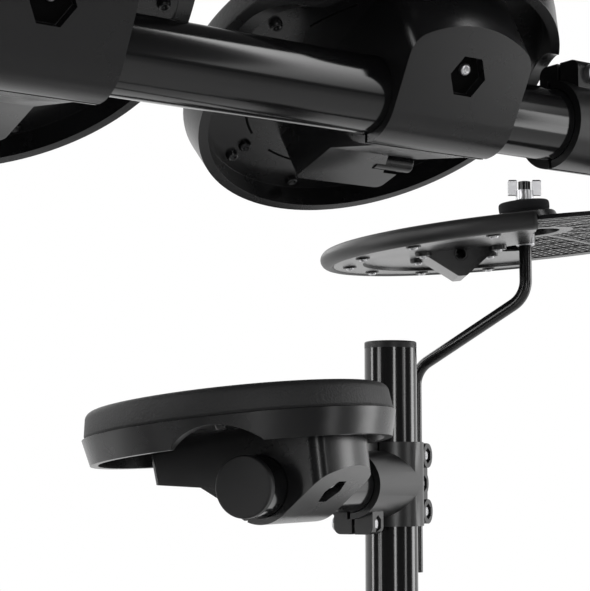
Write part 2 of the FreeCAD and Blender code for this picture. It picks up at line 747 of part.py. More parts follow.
def trigger_box():
    """The V-bottomed trigger and jack housing under the playing half."""
    end = Vec(0, -TRIGGER_WIDTH / 2, 0)
    side_low = -TRIGGER_SIDE_DROP
    middle = (TRIGGER_NEAR + TRIGGER_FAR) / 2
    block = prism([
        end + Vec(TRIGGER_NEAR, 0, BELL_TOP),
        end + Vec(TRIGGER_NEAR, 0, side_low),
        end + Vec(middle - TRIGGER_FLAT / 2, 0, -TRIGGER_DROP),
        end + Vec(middle + TRIGGER_FLAT / 2, 0, -TRIGGER_DROP),
        end + Vec(TRIGGER_FAR, 0, side_low),
        end + Vec(TRIGGER_FAR, 0, BELL_TOP),
    ], Y_AXIS * TRIGGER_WIDTH)
    low_edges = edges_where(block, lambda e, m: abs(m.y) < NEAR and m.z < BELL_TOP - NEAR)
    block = block.makeFillet(TRIGGER_ROUND, low_edges)
    above = dome_ring(0, CYMBAL_RADIUS, -CYMBAL_THICKNESS - RUBBER_GAP, 2 * BELL_TOP)
    block = block.cut(above)
    mouth, outward = trigger_jack()
    for diameter, depth in ((JACK_HOLE_D, JACK_HOLE_DEPTH), (JACK_BORE_D, JACK_HOLE_DEPTH + JACK_BORE_DEPTH)):
        block = block.cut(cylinder(diameter / 2, 2 * depth, mouth - outward * depth, outward))
    return block


def felt_washer(base):
    """A felt washer standing on a height."""
    felt = cylinder(FELT_D / 2, FELT_THICKNESS, Vec(0, 0, base))
    felt = felt.makeFillet(FELT_ROUND, edges_where(felt, lambda e, m: e.Closed))
    return felt.cut(cylinder(FELT_HOLE_D / 2, FELT_THICKNESS, Vec(0, 0, base)))


def felt_levels():
    """The feet of the lower and the upper felt."""
    lower = BELL_TOP - CYMBAL_THICKNESS - RUBBER_GAP - FELT_THICKNESS
    return lower, BELL_TOP + RUBBER_GAP


def cymbal_pieces():
    """The pieces of a cymbal pad that rock together, about the middle of the rim plane."""
    return {
        "bow": [cymbal_bow(), under_ring()],
        "rubber": [cymbal_rubber()],
        "trigger_box": [trigger_box()],
        "felts": [felt_washer(level) for level in felt_levels()],
    }


def wing_nut(base):
    """The nut over the upper felt, with two upright wings."""
    body = cylinder(WING_HUB_D / 2, WING_HUB_HEIGHT, Vec(0, 0, base))
    for side in (-1, 1):
        inner = side * WING_GAP / 2
        outer = side * WING_SPAN / 2
        low = Vec(min(inner, outer), -WING_THICKNESS / 2, base + WING_HUB_HEIGHT / 2)
        high = Vec(max(inner, outer), WING_THICKNESS / 2, base + WING_HEIGHT)
        wing = box(low, high)
        wing = wing.makeFillet(WING_THICKNESS / 3, edges_where(wing, lambda e, m: m.z > high.z - NEAR))
        body = body.fuse(wing)
    bore = cylinder(ROD_R + PLUG_GAP, WING_HEIGHT, Vec(0, 0, base))
    return body.removeSplitter().cut(bore)


def stop_collar(top):
    """The collar under the lower felt, with its set screw."""
    collar = cylinder(STOP_D / 2, STOP_HEIGHT, Vec(0, 0, top - STOP_HEIGHT))
    collar = collar.makeFillet(STOP_D / 12, edges_where(collar, lambda e, m: e.Closed))
    screw_start = Vec(0, STOP_D / 2 - STOP_SCREW_D / 2, top - STOP_HEIGHT / 2)
    collar = collar.fuse(cylinder(STOP_SCREW_D / 2, STOP_SCREW_LENGTH, screw_start, Y_AXIS))
    return collar.cut(cylinder(ROD_R + PLUG_GAP, STOP_HEIGHT, Vec(0, 0, top - STOP_HEIGHT)))


def cymbal_fittings():
    """The steel fittings on a cymbal rod, about the middle of the rim plane."""
    lower, upper = felt_levels()
    return [stop_collar(lower - NUT_SEAT_GAP), wing_nut(upper + FELT_THICKNESS + NUT_SEAT_GAP)]


def bent_rod(run):
    """A cymbal rod with its foot's axis on Z, heights counted from the clamp's middle."""
    corners = [
        Vec(0, 0, -ROD_DROP),
        Vec(0, 0, ROD_BEND_LOW),
        run + Z_AXIS * (ROD_BEND_LOW + ROD_BEND_RISE),
        run + Z_AXIS * (CYMBAL_PLANE + ROD_TIP),
    ]
    edges = []
    start = corners[0]
    for before, corner, after in zip(corners, corners[1:], corners[2:]):
        arrive = (corner - before).normalize()
        leave = (after - corner).normalize()
        half_turn = arrive.getAngle(leave) / 2
        cut_back = ROD_BEND * math.tan(half_turn)
        into = corner - arrive * cut_back
        out = corner + leave * cut_back
        inward = (leave - arrive).normalize()
        centre = corner + inward * (ROD_BEND / math.cos(half_turn))
        edges.append(Part.makeLine(start, into))
        edges.append(Part.Arc(into, centre - inward * ROD_BEND, out).toShape())
        start = out
    edges.append(Part.makeLine(start, corners[-1]))
    path = Part.Wire(edges)
    section = Part.Wire([Part.makeCircle(ROD_R, corners[0], Z_AXIS)])
    return path.makePipeShell([section], True, False)


def module_top(y):
    """The height of the module's top panel over its hinge at a depth."""
    fall = (MODULE_BACK_HEIGHT - MODULE_FRONT_HEIGHT) / MODULE_DEPTH
    return LUG_DROP + MODULE_BACK_HEIGHT - fall * (y + MODULE_DEPTH / 2)


def panel_place(x, y):
    """A placement on the top panel with Z as the panel's outward direction."""
    fall = (MODULE_BACK_HEIGHT - MODULE_FRONT_HEIGHT) / MODULE_DEPTH
    lean = FreeCAD.Rotation(X_AXIS, -math.degrees(math.atan(fall)))
    return FreeCAD.Placement(Vec(x, y, module_top(y)), lean)


def module_places():
    """Where the controls stand on the module's panel."""
    row = MODULE_DEPTH / 2 - BUTTON_DEPTH - 2 * MODULE_ROUND
    step = BUTTON_WIDTH + 2 * BUTTON_GAP + MODULE_ROUND
    left = -MODULE_WIDTH / 2 + BUTTON_WIDTH / 2 + 2 * MODULE_ROUND
    return {
        "dial": panel_place(MODULE_WIDTH / 2 - DIAL_D / 2 - 3 * MODULE_ROUND, 0),
        "volume_knob": panel_place(left, -MODULE_DEPTH / 4),
        "power_button": panel_place(left, row),
        "click_button": panel_place(left + step, row),
        "kit_button": panel_place(left + 2 * step, row),
        "display": panel_place(0, -MODULE_DEPTH / 5),
    }


def module_case():
    """The module's case with its hinge lug, on a hinge axis along X through the origin."""
    end = Vec(-MODULE_WIDTH / 2, 0, 0)
    back = -MODULE_DEPTH / 2
    front = MODULE_DEPTH / 2
    case = prism([
        end + Vec(0, back, LUG_DROP),
        end + Vec(0, front, LUG_DROP),
        end + Vec(0, front, module_top(front)),
        end + Vec(0, back, module_top(back)),
    ], X_AXIS * MODULE_WIDTH)
    side = MODULE_WIDTH / 2
    corners = edges_where(case, lambda e, m: abs(abs(m.x) - side) < NEAR and abs(abs(m.y) - front) < NEAR)
    case = case.makeFillet(MODULE_ROUND, corners)
    lug = cylinder(LUG_RADIUS, LUG_WIDTH, Vec(-LUG_WIDTH / 2, 0, 0), X_AXIS)
    lug = lug.fuse(box(Vec(-LUG_WIDTH / 2, -LUG_RADIUS, 0), Vec(LUG_WIDTH / 2, LUG_RADIUS, LUG_DROP)))
    case = case.fuse(lug).removeSplitter()
    case = case.cut(cylinder(HINGE_PIN_D / 2 + HINGE_GAP, LUG_WIDTH, Vec(-LUG_WIDTH / 2, 0, 0), X_AXIS))
    places = module_places()
    well = Vec(BUTTON_WIDTH / 2 + BUTTON_GAP, BUTTON_DEPTH / 2 + BUTTON_GAP, 0)
    for name in ("power_button", "click_button", "kit_button"):
        pocket = box(Vec(-well.x, -well.y, -BUTTON_WELL), Vec(well.x, well.y, BUTTON_WELL))
        case = case.cut(moved(pocket, places[name]))
    for name in ("dial", "volume_knob"):
        hole = cylinder(SPINDLE_D / 2 + SPINDLE_GAP, 2 * SPINDLE_DEPTH, Vec(0, 0, -SPINDLE_DEPTH - KNOB_LIFT))
        case = case.cut(moved(hole, places[name]))
    half = Vec(DISPLAY_WIDTH / 2, DISPLAY_DEPTH / 2, DISPLAY_SINK)
    return case.cut(moved(box(half * -1, half), places["display"]))


def knob(diameter, height):
    """A knob on its spindle, over a panel at Z = 0."""
    cap = cylinder(diameter / 2, height, Vec(0, 0, KNOB_LIFT))
    cap = cap.makeFillet(KNOB_ROUND, edges_where(cap, lambda e, m: e.Closed and m.z > height / 2))
    return cap.fuse(cylinder(SPINDLE_D / 2, SPINDLE_DEPTH + KNOB_LIFT, Vec(0, 0, -SPINDLE_DEPTH)))


def panel_button():
    """A push button standing in its well, over a panel at Z = 0."""
    low = Vec(-BUTTON_WIDTH / 2, -BUTTON_DEPTH / 2, BUTTON_FLOOR_GAP + BUTTON_TRAVEL - BUTTON_WELL)
    cap = box(low, Vec(BUTTON_WIDTH / 2, BUTTON_DEPTH / 2, BUTTON_PROUD))
    return cap.makeFillet(BUTTON_ROUND, edges_where(cap, lambda e, m: m.z > BUTTON_PROUD - NEAR))


def module_bracket():
    """The bracket from the front right post to the module's hinge, and the hinge pin."""
    ear_in = LUG_WIDTH / 2 + HINGE_SIDE_GAP
    ear_out = ear_in + HINGE_EAR
    bar_top = -LUG_RADIUS - HINGE_EAR
    bar = box(Vec(-ear_out, -BAR_DEPTH / 2, bar_top - BAR_THICKNESS), Vec(MODULE_OUT, BAR_DEPTH / 2, bar_top))
    for side in (-1, 1):
        base = min(side * ear_in, side * ear_out)
        ear = cylinder(LUG_RADIUS, HINGE_EAR, Vec(base, 0, 0), X_AXIS)
        ear = ear.fuse(box(Vec(base, -LUG_RADIUS, bar_top), Vec(base + HINGE_EAR, LUG_RADIUS, 0)))
        bar = bar.fuse(ear)
    level = bar_top - BAR_THICKNESS / 2
    post = Vec(MODULE_OUT, 0, level - BRACKET_COLLAR_HEIGHT / 2)
    bar = bar.fuse(cylinder(CLAMP_R, BRACKET_COLLAR_HEIGHT, post)).removeSplitter()
    bar = bar.cut(cylinder(GRIP_R, BRACKET_COLLAR_HEIGHT, post))
    bar = bar.cut(cylinder(HINGE_PIN_D / 2 + PLUG_GAP, 2 * ear_out, Vec(-ear_out, 0, 0), X_AXIS))
    pin = cylinder(HINGE_PIN_D / 2, 2 * ear_out, Vec(-ear_out, 0, 0), X_AXIS)
    for side in (-1, 1):
        base = Vec(side * ear_out, 0, 0)
        pin = pin.fuse(cylinder(HINGE_PIN_D, HINGE_EAR / 2, base, X_AXIS * side))
    return [bar, pin.removeSplitter()]


def add(name, shapes, place=FreeCAD.Placement()):
    """Put pieces into the kit at a placement."""
    parts.setdefault(name, []).extend(moved(shape, place) for shape in shapes)


def front_post(side):
    """The axis of a front post on the floor; side is 1 for the player's left."""
    return Vec(side * FRONT_POST_X, 0, 0)


def rear_post(side):
    """The axis of a rear post on the floor."""
    return Vec(side * REAR_POST_X, RACK_DEPTH, 0)


def mirrored(angle, side):
    """A level direction on the left side, or the like one on the right."""
    return angle if side > 0 else 180.0 - angle


def arm_turn(side):
    """The direction of a swinging arm away from its post."""
    return mirrored(180.0 + ARM_TURN, side)


def build_posts():
    """The posts with their caps and feet."""
    rear_top = ARM_HEIGHT + REAR_POST_RISE
    front_top = CROSSBAR_HEIGHT + FRONT_POST_RISE
    for side, word in ((1, "left"), (-1, "right")):
        for foot, top, name in ((front_post(side), front_top, "front"), (rear_post(side), rear_top, "rear")):
            add(f"{name}_{word}_post", [tube(foot + Z_AXIS * FOOT_SOLE, foot + Z_AXIS * top)])
            add("post_caps", [end_plug()], shifted(foot + Z_AXIS * top))
            add("post_feet", [post_foot()], shifted(foot))


def clamp_place(post, height, turn):
    """A placement of a tee clamp on a post with its branch in a level direction."""
    return shifted(post + Z_AXIS * height).multiply(turned(turn))


def build_bars():
    """The crossbar, the side bars and the clamps that hold them."""
    shells = tee_clamp()
    bolts = clamp_bolts()
    inset = TUBE_R + TUBE_END_GAP
    left_end = front_post(1) + Vec(-inset, 0, CROSSBAR_HEIGHT)
    right_end = front_post(-1) + Vec(inset, 0, CROSSBAR_HEIGHT)
    add("crossbar", [tube(right_end, left_end)])
    for side, word in ((1, "left"), (-1, "right")):
        turn = mirrored(SIDE_TURN, side)
        level = Z_AXIS * SIDE_BAR_HEIGHT
        front = front_post(side) + level + polar(turn, inset)
        rear = rear_post(side) + level - polar(turn, inset)
        add(f"{word}_side_bar", [tube(front, rear)])
        crossbar_end = clamp_place(front_post(side), CROSSBAR_HEIGHT, mirrored(180.0, side))
        places = [
            crossbar_end.multiply(turned(180, X_AXIS)),
            clamp_place(front_post(side), SIDE_BAR_HEIGHT, turn),
            clamp_place(rear_post(side), SIDE_BAR_HEIGHT, turn + 180.0),
        ]
        for place in places:
            add("rack_clamps", shells, place)
            add("rack_clamp_bolts", bolts, place)


def build_arms():
    """The swinging arms on the rear posts."""
    shells = tee_clamp()
    bolts = clamp_bolts()
    plug_turn = FreeCAD.Placement(Vec(ARM_REACH - CAP_HEIGHT, 0, 0), FreeCAD.Rotation(Z_AXIS, X_AXIS))
    for side, word in ((1, "left"), (-1, "right")):
        place = clamp_place(rear_post(side), ARM_HEIGHT, arm_turn(side))
        add(f"{word}_arm_clamp", shells, place)
        add(f"{word}_arm_bolts", bolts, place)
        run = tube(Vec(TUBE_R + TUBE_END_GAP, 0, 0), Vec(ARM_REACH - CAP_HEIGHT, 0, 0))
        add(f"{word}_arm_tube", [run], place)
        add(f"{word}_arm_plug", [end_plug()], place.multiply(plug_turn))


def pad_place(centre, turn, tilt):
    """A placement of a pad on a tube: level turn, then tilt towards the player."""
    return shifted(centre).multiply(turned(turn)).multiply(turned(-tilt, X_AXIS))


def build_pads():
    """The toms on the crossbar, and the snare and floor tom on the arms."""
    pieces = pad_pieces()
    places = {}
    for side, tom, arm_pad in ((1, "left_tom", "snare"), (-1, "right_tom", "floor_tom")):
        places[tom] = pad_place(Vec(side * TOM_SPACING / 2, 0, CROSSBAR_HEIGHT), 0, TOM_TILT)
        centre = rear_post(side) + Z_AXIS * ARM_HEIGHT + polar(arm_turn(side), PAD_DISTANCE)
        places[arm_pad] = pad_place(centre, side * ARM_TURN, SNARE_TILT)
    for pad, place in places.items():
        for piece, shapes in pieces.items():
            add(f"{pad}_{piece}", shapes, place)
    parts["right_tom_bracket"] = []
    add("right_tom_bracket", [mirror_image(shape) for shape in pieces["bracket"]], places["right_tom"])


def cymbal_setups():
    """Each cymbal's rod foot at its clamp, the rod's run, and the cymbal's two turns."""
    setups = {}
    for side, name in ((1, "hihat"), (-1, "ride")):
        foot = rear_post(side) + Z_AXIS * ARM_HEIGHT - polar(arm_turn(side), ROD_DISTANCE)
        run = polar(mirrored(ROD_TURN, side), ROD_RUN)
        setups[name] = (foot, run, mirrored(CYMBAL_TURN, side), mirrored(CYMBAL_LEAN_TURN, side))
    foot = front_post(1) + Z_AXIS * CROSSBAR_HEIGHT + Vec(ROD_DISTANCE, 0, 0)
    setups["crash"] = (foot, polar(CRASH_ROD_TURN, ROD_RUN), CRASH_TURN, CRASH_TURN)
    return setups


def build_cymbals():
    """The cymbal pads on their rods."""
    pieces = cymbal_pieces()
    for name, (foot, run, turn, lean_turn) in cymbal_setups().items():
        add(f"{name}_rod", [bent_rod(run)], shifted(foot))
        upright = shifted(foot + run + Z_AXIS * CYMBAL_PLANE)
        add(f"{name}_fittings", cymbal_fittings(), upright.multiply(turned(turn)))
        lean_axis = Z_AXIS.cross(polar(lean_turn, 1))
        pivot = Z_AXIS * ROCK_HEIGHT
        leaning = upright.multiply(shifted(pivot)).multiply(turned(CYMBAL_TILT, lean_axis))
        leaning = leaning.multiply(shifted(pivot * -1)).multiply(turned(turn))
        for piece, shapes in pieces.items():
            add(f"{name}_{piece}", shapes, leaning)


def module_hinge():
    """The middle of the module's hinge axis."""
    return front_post(-1) + Vec(-MODULE_OUT, 0, CROSSBAR_HEIGHT - MODULE_DROP)


def module_place():
    """A placement of the module on its hinge."""
    return shifted(module_hinge()).multiply(turned(-MODULE_TILT, X_AXIS))


def build_module():
    """The sound module, its controls and its bracket."""
    add("module_bracket", module_bracket(), shifted(module_hinge()))
    add("module_case", [module_case()], module_place())
    places = module_places()
    controls = {
        "dial": knob(DIAL_D, DIAL_HEIGHT),
        "volume_knob": knob(VOLUME_D, VOLUME_HEIGHT),
        "power_button": panel_button(),
        "click_button": panel_button(),
        "kit_button": panel_button(),
    }
    for name, shape in controls.items():
        add(f"module_{name}", [shape], module_place().multiply(places[name]))


def footprint_shift():
    """The move that puts the middle of the kit's footprint on the origin."""
    whole = FreeCAD.BoundBox()
    for shapes in parts.values():
        for shape in shapes:
            whole.add(shape.optimalBoundingBox(False, False))
    return Vec(-whole.Center.x, -whole.Center.y, -whole.ZMin)


build_posts()
build_bars()
build_arms()
build_pads()
build_cymbals()
build_module()
SHIFT = footprint_shift()

os.makedirs("parts", exist_ok=True)
for name, shapes in parts.items():
    group = Part.makeCompound([moved(shape, shifted(SHIFT)) for shape in shapes])
    shape = group if len(shapes) > 1 else group.Solids[0]
    shape.exportStep(f"parts/{name}.step")
    state = "valid" if all(solid.isValid() for solid in group.Solids) else "NOT VALID"
    print(name, len(group.Solids), "solids", round(group.Volume / 1000, 2), "cm3", state)
print("shift", SHIFT, "nodes", len(parts))
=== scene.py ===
"""Looks of an electronic drum kit, dressed round its construction model.

The construction model gives every rigid piece at its real size. This script adds the rubber heads,
the open cymbal lattices, screws, jack nuts, rubber feet, felts and the module's controls as meshes,
gives every surface a finish, and sets up a white studio with the photograph's camera.
Lengths in the dataclasses are millimetres unless a name says otherwise; meshes are built in metres.
"""
from __future__ import annotations

import json
import logging
import math
from dataclasses import dataclass, field
from enum import Enum
from typing import Callable, Iterable, Sequence

import bmesh
import bpy
from mathutils import Matrix, Vector

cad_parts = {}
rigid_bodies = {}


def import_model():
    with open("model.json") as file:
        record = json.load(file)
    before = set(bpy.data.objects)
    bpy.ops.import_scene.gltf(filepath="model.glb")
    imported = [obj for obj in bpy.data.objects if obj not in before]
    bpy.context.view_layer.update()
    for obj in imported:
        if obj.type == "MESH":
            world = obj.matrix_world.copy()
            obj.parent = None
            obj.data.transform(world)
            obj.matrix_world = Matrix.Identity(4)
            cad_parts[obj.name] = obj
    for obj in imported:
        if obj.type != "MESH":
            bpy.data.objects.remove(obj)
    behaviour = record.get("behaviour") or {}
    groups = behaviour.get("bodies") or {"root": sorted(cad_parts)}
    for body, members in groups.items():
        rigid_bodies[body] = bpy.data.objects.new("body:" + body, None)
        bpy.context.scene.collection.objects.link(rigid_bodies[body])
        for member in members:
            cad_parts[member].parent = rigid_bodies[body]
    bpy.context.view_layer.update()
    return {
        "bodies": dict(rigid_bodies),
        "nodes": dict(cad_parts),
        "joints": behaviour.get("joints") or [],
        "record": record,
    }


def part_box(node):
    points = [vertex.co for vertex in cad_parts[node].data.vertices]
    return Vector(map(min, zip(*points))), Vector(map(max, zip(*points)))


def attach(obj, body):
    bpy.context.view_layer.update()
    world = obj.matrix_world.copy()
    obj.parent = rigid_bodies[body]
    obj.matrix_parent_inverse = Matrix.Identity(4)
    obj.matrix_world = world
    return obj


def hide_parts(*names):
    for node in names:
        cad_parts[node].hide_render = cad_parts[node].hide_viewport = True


LOG = logging.getLogger("drum_kit")
MM = 0.001
FULL_TURN = 2 * math.pi

Profile = Sequence[tuple[float, float]]
Section = list[tuple[float, float]]

# Segments round a turned form

DOT_STEPS = 12
SCREW_STEPS = 24
CUP_STEPS = 28
NUT_STEPS = 36
ROUND_STEPS = 64
BELL_STEPS = 72
PLATE_STEPS = 96
RUBBER_STEPS = 128
HEAD_STEPS = 160
STEPS_PER_RIDGE = 8

# Points along a strip that follows a curve, and sides of a hexagon

STRIP_POINTS = 9
HEX_SIDES = 6

# Lengths, in metres, and radii, in millimetres, below which points count as one

WELD_DISTANCE = 1e-7
FACET_WELD = 1e-6
ON_AXIS = 1e-9
SAME_POINT = 1e-6


class Grain(Enum):
    """Surface textures, each as the share of cells in its height; a smooth surface has no height."""

    FINE = 0.25
    PEBBLE = 0.85
    SMOOTH = 0.0
    FIBRE = 0.05


class Half(Enum):
    """The two halves of a cymbal pad, as the first angle of each in degrees."""

    PLAYING = -90.0
    OPEN = 90.0


# Shader node groups

GRAIN_DETAIL = 3.0
DRIFT_DETAIL = 5.0
DRIFT_ROUGHNESS = 0.6
MEAN_NOISE = 0.5


def new_group(
    name: str, inputs: dict[str, tuple[str, object]], outputs: dict[str, str]
) -> bpy.types.NodeTree:
    """Make an empty shader node group with named sockets.

    Args:
        name: the group's name.
        inputs: socket name to its type and default value.
        outputs: socket name to its type.

    Returns:
        The group's node tree, with its input and output nodes in place.
    """
    tree = bpy.data.node_groups.new(name, "ShaderNodeTree")
    for label, (kind, value) in inputs.items():
        socket = tree.interface.new_socket(label, in_out="INPUT", socket_type=kind)
        socket.default_value = value
    for label, kind in outputs.items():
        tree.interface.new_socket(label, in_out="OUTPUT", socket_type=kind)
    tree.nodes.new("NodeGroupInput").name = "in"
    tree.nodes.new("NodeGroupOutput").name = "out"
    return tree


def add_node(tree: bpy.types.NodeTree, kind: str, **settings: object) -> bpy.types.Node:
    """Add a node and set its properties.

    Args:
        tree: the tree that gets the node.
        kind: the node's type name.
        settings: property values by name.

    Returns:
        The new node.
    """
    node = tree.nodes.new(kind)
    for key, value in settings.items():
        setattr(node, key, value)
    return node


def combine(
    tree: bpy.types.NodeTree,
    operation: str,
    first: bpy.types.NodeSocket,
    second: bpy.types.NodeSocket | float,
) -> bpy.types.NodeSocket:
    """Combine two values in a math node.

    Args:
        tree: the tree that gets the node.
        operation: the node's operation.
        first: the first value.
        second: the second value, or a fixed number.

    Returns:
        The node's output.
    """
    node = add_node(tree, "ShaderNodeMath", operation=operation)
    tree.links.new(first, node.inputs[0])
    if isinstance(second, float):
        node.inputs[1].default_value = second
    else:
        tree.links.new(second, node.inputs[1])
    return node.outputs[0]


def moulded_grain_group() -> bpy.types.NodeTree:
    """Fine cast texture: a height blended from noise and cells of a set size.

    Returns:
        The node group, built once.
    """
    found = bpy.data.node_groups.get("moulded_grain")
    if found:
        return found
    tree = new_group(
        "moulded_grain",
        {"Scale": ("NodeSocketFloat", 900.0), "Cells": ("NodeSocketFloat", 0.5)},
        {"Height": "NodeSocketFloat"},
    )
    source, sink = tree.nodes["in"], tree.nodes["out"]
    place = add_node(tree, "ShaderNodeTexCoord")
    noise = add_node(tree, "ShaderNodeTexNoise")
    noise.inputs["Detail"].default_value = GRAIN_DETAIL
    cells = add_node(tree, "ShaderNodeTexVoronoi", feature="SMOOTH_F1")
    blend = add_node(tree, "ShaderNodeMix", data_type="FLOAT")
    for texture in (noise, cells):
        tree.links.new(place.outputs["Object"], texture.inputs["Vector"])
        tree.links.new(source.outputs["Scale"], texture.inputs["Scale"])
    tree.links.new(source.outputs["Cells"], blend.inputs["Factor"])
    tree.links.new(noise.outputs["Fac"], blend.inputs["A"])
    tree.links.new(cells.outputs["Distance"], blend.inputs["B"])
    tree.links.new(blend.outputs["Result"], sink.inputs["Height"])
    return tree


def handled_surface_group() -> bpy.types.NodeTree:
    """Slow drifts of colour and gloss over a surface, as handling and moulding leave them.

    Returns:
        The node group, built once.
    """
    found = bpy.data.node_groups.get("handled_surface")
    if found:
        return found
    tree = new_group(
        "handled_surface",
        {
            "Colour": ("NodeSocketColor", (0.03, 0.03, 0.03, 1.0)),
            "Lift": ("NodeSocketFloat", 0.1),
            "Roughness": ("NodeSocketFloat", 0.4),
            "Drift": ("NodeSocketFloat", 0.08),
            "Scale": ("NodeSocketFloat", 18.0),
        },
        {"Colour": "NodeSocketColor", "Roughness": "NodeSocketFloat"},
    )
    source, sink = tree.nodes["in"], tree.nodes["out"]
    place = add_node(tree, "ShaderNodeTexCoord")
    noise = add_node(tree, "ShaderNodeTexNoise")
    noise.inputs["Detail"].default_value = DRIFT_DETAIL
    noise.inputs["Roughness"].default_value = DRIFT_ROUGHNESS
    tree.links.new(place.outputs["Object"], noise.inputs["Vector"])
    tree.links.new(source.outputs["Scale"], noise.inputs["Scale"])
    centred = combine(tree, "SUBTRACT", noise.outputs["Fac"], MEAN_NOISE)
    rough = add_node(tree, "ShaderNodeMath", operation="MULTIPLY_ADD")
    tree.links.new(centred, rough.inputs[0])
    tree.links.new(source.outputs["Drift"], rough.inputs[1])
    tree.links.new(source.outputs["Roughness"], rough.inputs[2])
    amount = combine(tree, "MULTIPLY", noise.outputs["Fac"], source.outputs["Lift"])
    lifted = add_node(tree, "ShaderNodeMix", data_type="RGBA", blend_type="ADD")
    tree.links.new(amount, lifted.inputs["Factor"])
    tree.links.new(source.outputs["Colour"], lifted.inputs["A"])
    tree.links.new(source.outputs["Colour"], lifted.inputs["B"])
    tree.links.new(lifted.outputs["Result"], sink.inputs["Colour"])
    tree.links.new(rough.outputs[0], sink.inputs["Roughness"])
    return tree


# Finishes


GRAIN_STRENGTH = 0.8


@dataclass(frozen=True)
class Finish:
    """One surface finish and the material that shows it.

    Attributes:
        name: the material's name.
        colour: linear base colour.
        roughness: mean roughness.
        metallic: 1 for bare metal.
        grain: which texture the surface has.
        grain_scale: texture cells per metre.
        grain_depth: bump height in metres.
        drift: how far roughness wanders.
        lift: how far colour wanders.
        coat: weight of a clear coat.
        specular: specular level of the base.
        sheen: weight of fibre sheen.
    """

    name: str
    colour: tuple[float, float, float]
    roughness: float
    metallic: float = 0.0
    grain: Grain = Grain.SMOOTH
    grain_scale: float = 900.0
    grain_depth: float = 0.00002
    drift: float = 0.08
    lift: float = 0.25
    coat: float = 0.0
    specular: float = 0.5
    sheen: float = 0.0

    def material(self) -> bpy.types.Material:
        """Build the material, or give the one already built.

        Returns:
            A node material of this finish.
        """
        found = bpy.data.materials.get(self.name)
        if found:
            return found
        made = bpy.data.materials.new(self.name)
        made.use_nodes = True
        tree = made.node_tree
        shader = tree.nodes["Principled BSDF"]
        shader.inputs["Metallic"].default_value = self.metallic
        shader.inputs["Coat Weight"].default_value = self.coat
        shader.inputs["Specular IOR Level"].default_value = self.specular
        shader.inputs["Sheen Weight"].default_value = self.sheen
        handled = add_node(tree, "ShaderNodeGroup", node_tree=handled_surface_group())
        handled.inputs["Colour"].default_value = (*self.colour, 1.0)
        handled.inputs["Lift"].default_value = self.lift
        handled.inputs["Roughness"].default_value = self.roughness
        handled.inputs["Drift"].default_value = self.drift
        tree.links.new(handled.outputs["Colour"], shader.inputs["Base Color"])
        tree.links.new(handled.outputs["Roughness"], shader.inputs["Roughness"])
        if self.grain is not Grain.SMOOTH:
            self.add_grain(tree, shader)
        return made

    def add_grain(self, tree: bpy.types.NodeTree, shader: bpy.types.Node) -> None:
        """Give the shader a bump of this finish's grain.

        Args:
            tree: the material's node tree.
            shader: the shader whose normal is bumped.
        """
        grain = add_node(tree, "ShaderNodeGroup", node_tree=moulded_grain_group())
        grain.inputs["Scale"].default_value = self.grain_scale
        grain.inputs["Cells"].default_value = self.grain.value
        bump = add_node(tree, "ShaderNodeBump")
        bump.inputs["Distance"].default_value = self.grain_depth
        bump.inputs["Strength"].default_value = GRAIN_STRENGTH
        tree.links.new(grain.outputs["Height"], bump.inputs["Height"])
        tree.links.new(bump.outputs["Normal"], shader.inputs["Normal"])


GLOSS_TUBE = Finish("gloss_black_tube", (0.003, 0.003, 0.0032), 0.13, drift=0.03, specular=0.5)
SATIN_MOULDING = Finish(
    "satin_black_moulding", (0.0045, 0.0045, 0.0048), 0.27, grain=Grain.FINE, grain_scale=1400.0,
    grain_depth=0.000006, specular=0.32,
)
CLAMP_MOULDING = Finish(
    "clamp_moulding", (0.0045, 0.0045, 0.0047), 0.33, grain=Grain.FINE, grain_scale=1200.0,
    grain_depth=0.00001, specular=0.45,
)
CAP_MOULDING = Finish(
    "cap_moulding", (0.006, 0.006, 0.0063), 0.46, grain=Grain.FINE, grain_scale=1000.0, grain_depth=0.00003,
    specular=0.3,
)
PEBBLED_RUBBER = Finish(
    "pebbled_pad_rubber", (0.011, 0.011, 0.0114), 0.6, grain=Grain.PEBBLE, grain_scale=700.0,
    grain_depth=0.0003, drift=0.1, specular=0.32,
)
RIM_RUBBER = Finish(
    "cymbal_rim_rubber", (0.012, 0.012, 0.0122), 0.44, grain=Grain.FINE, grain_scale=1500.0,
    grain_depth=0.00001, specular=0.35,
)
FOOT_RUBBER = Finish(
    "foot_rubber", (0.012, 0.012, 0.012), 0.75, grain=Grain.FINE, grain_scale=700.0,
    grain_depth=0.00006, specular=0.2,
)
BRIGHT_STEEL = Finish("bright_plated_steel", (0.42, 0.42, 0.43), 0.36, metallic=1.0, drift=0.12, lift=0.05)
PLATE_STEEL = Finish("plain_sheet_steel", (0.55, 0.55, 0.56), 0.35, metallic=1.0, drift=0.15, lift=0.05)
DARK_SCREW = Finish("blackened_screw", (0.02, 0.02, 0.021), 0.4, metallic=1.0, drift=0.12, lift=0.1)
SATIN_ROD = Finish("satin_black_rod", (0.005, 0.005, 0.0053), 0.2, drift=0.06, specular=0.45)
LATTICE_MOULDING = Finish(
    "lattice_moulding", (0.006, 0.006, 0.0063), 0.26, grain=Grain.FINE, grain_scale=1300.0,
    grain_depth=0.000006, specular=0.4,
)
CHARCOAL_FELT = Finish(
    "charcoal_felt", (0.012, 0.012, 0.013), 0.95, grain=Grain.FIBRE, grain_scale=2200.0, grain_depth=0.0003,
    specular=0.08, sheen=0.08,
)
# Painted shade: a near-black, barely reflecting finish for the strips in the deck's slots and the sheet on
# the floor of the bolt's window.
SLOT_SHADOW = Finish("slot_shadow", (0.001, 0.001, 0.001), 0.85, specular=0.05, lift=0.1)
MODULE_MOULDING = Finish(
    "module_moulding", (0.009, 0.009, 0.01), 0.42, grain=Grain.FINE, grain_scale=900.0, grain_depth=0.00004,
    specular=0.4,
)
KNOB_MOULDING = Finish("knob_moulding", (0.009, 0.009, 0.0095), 0.26, drift=0.06, specular=0.45)
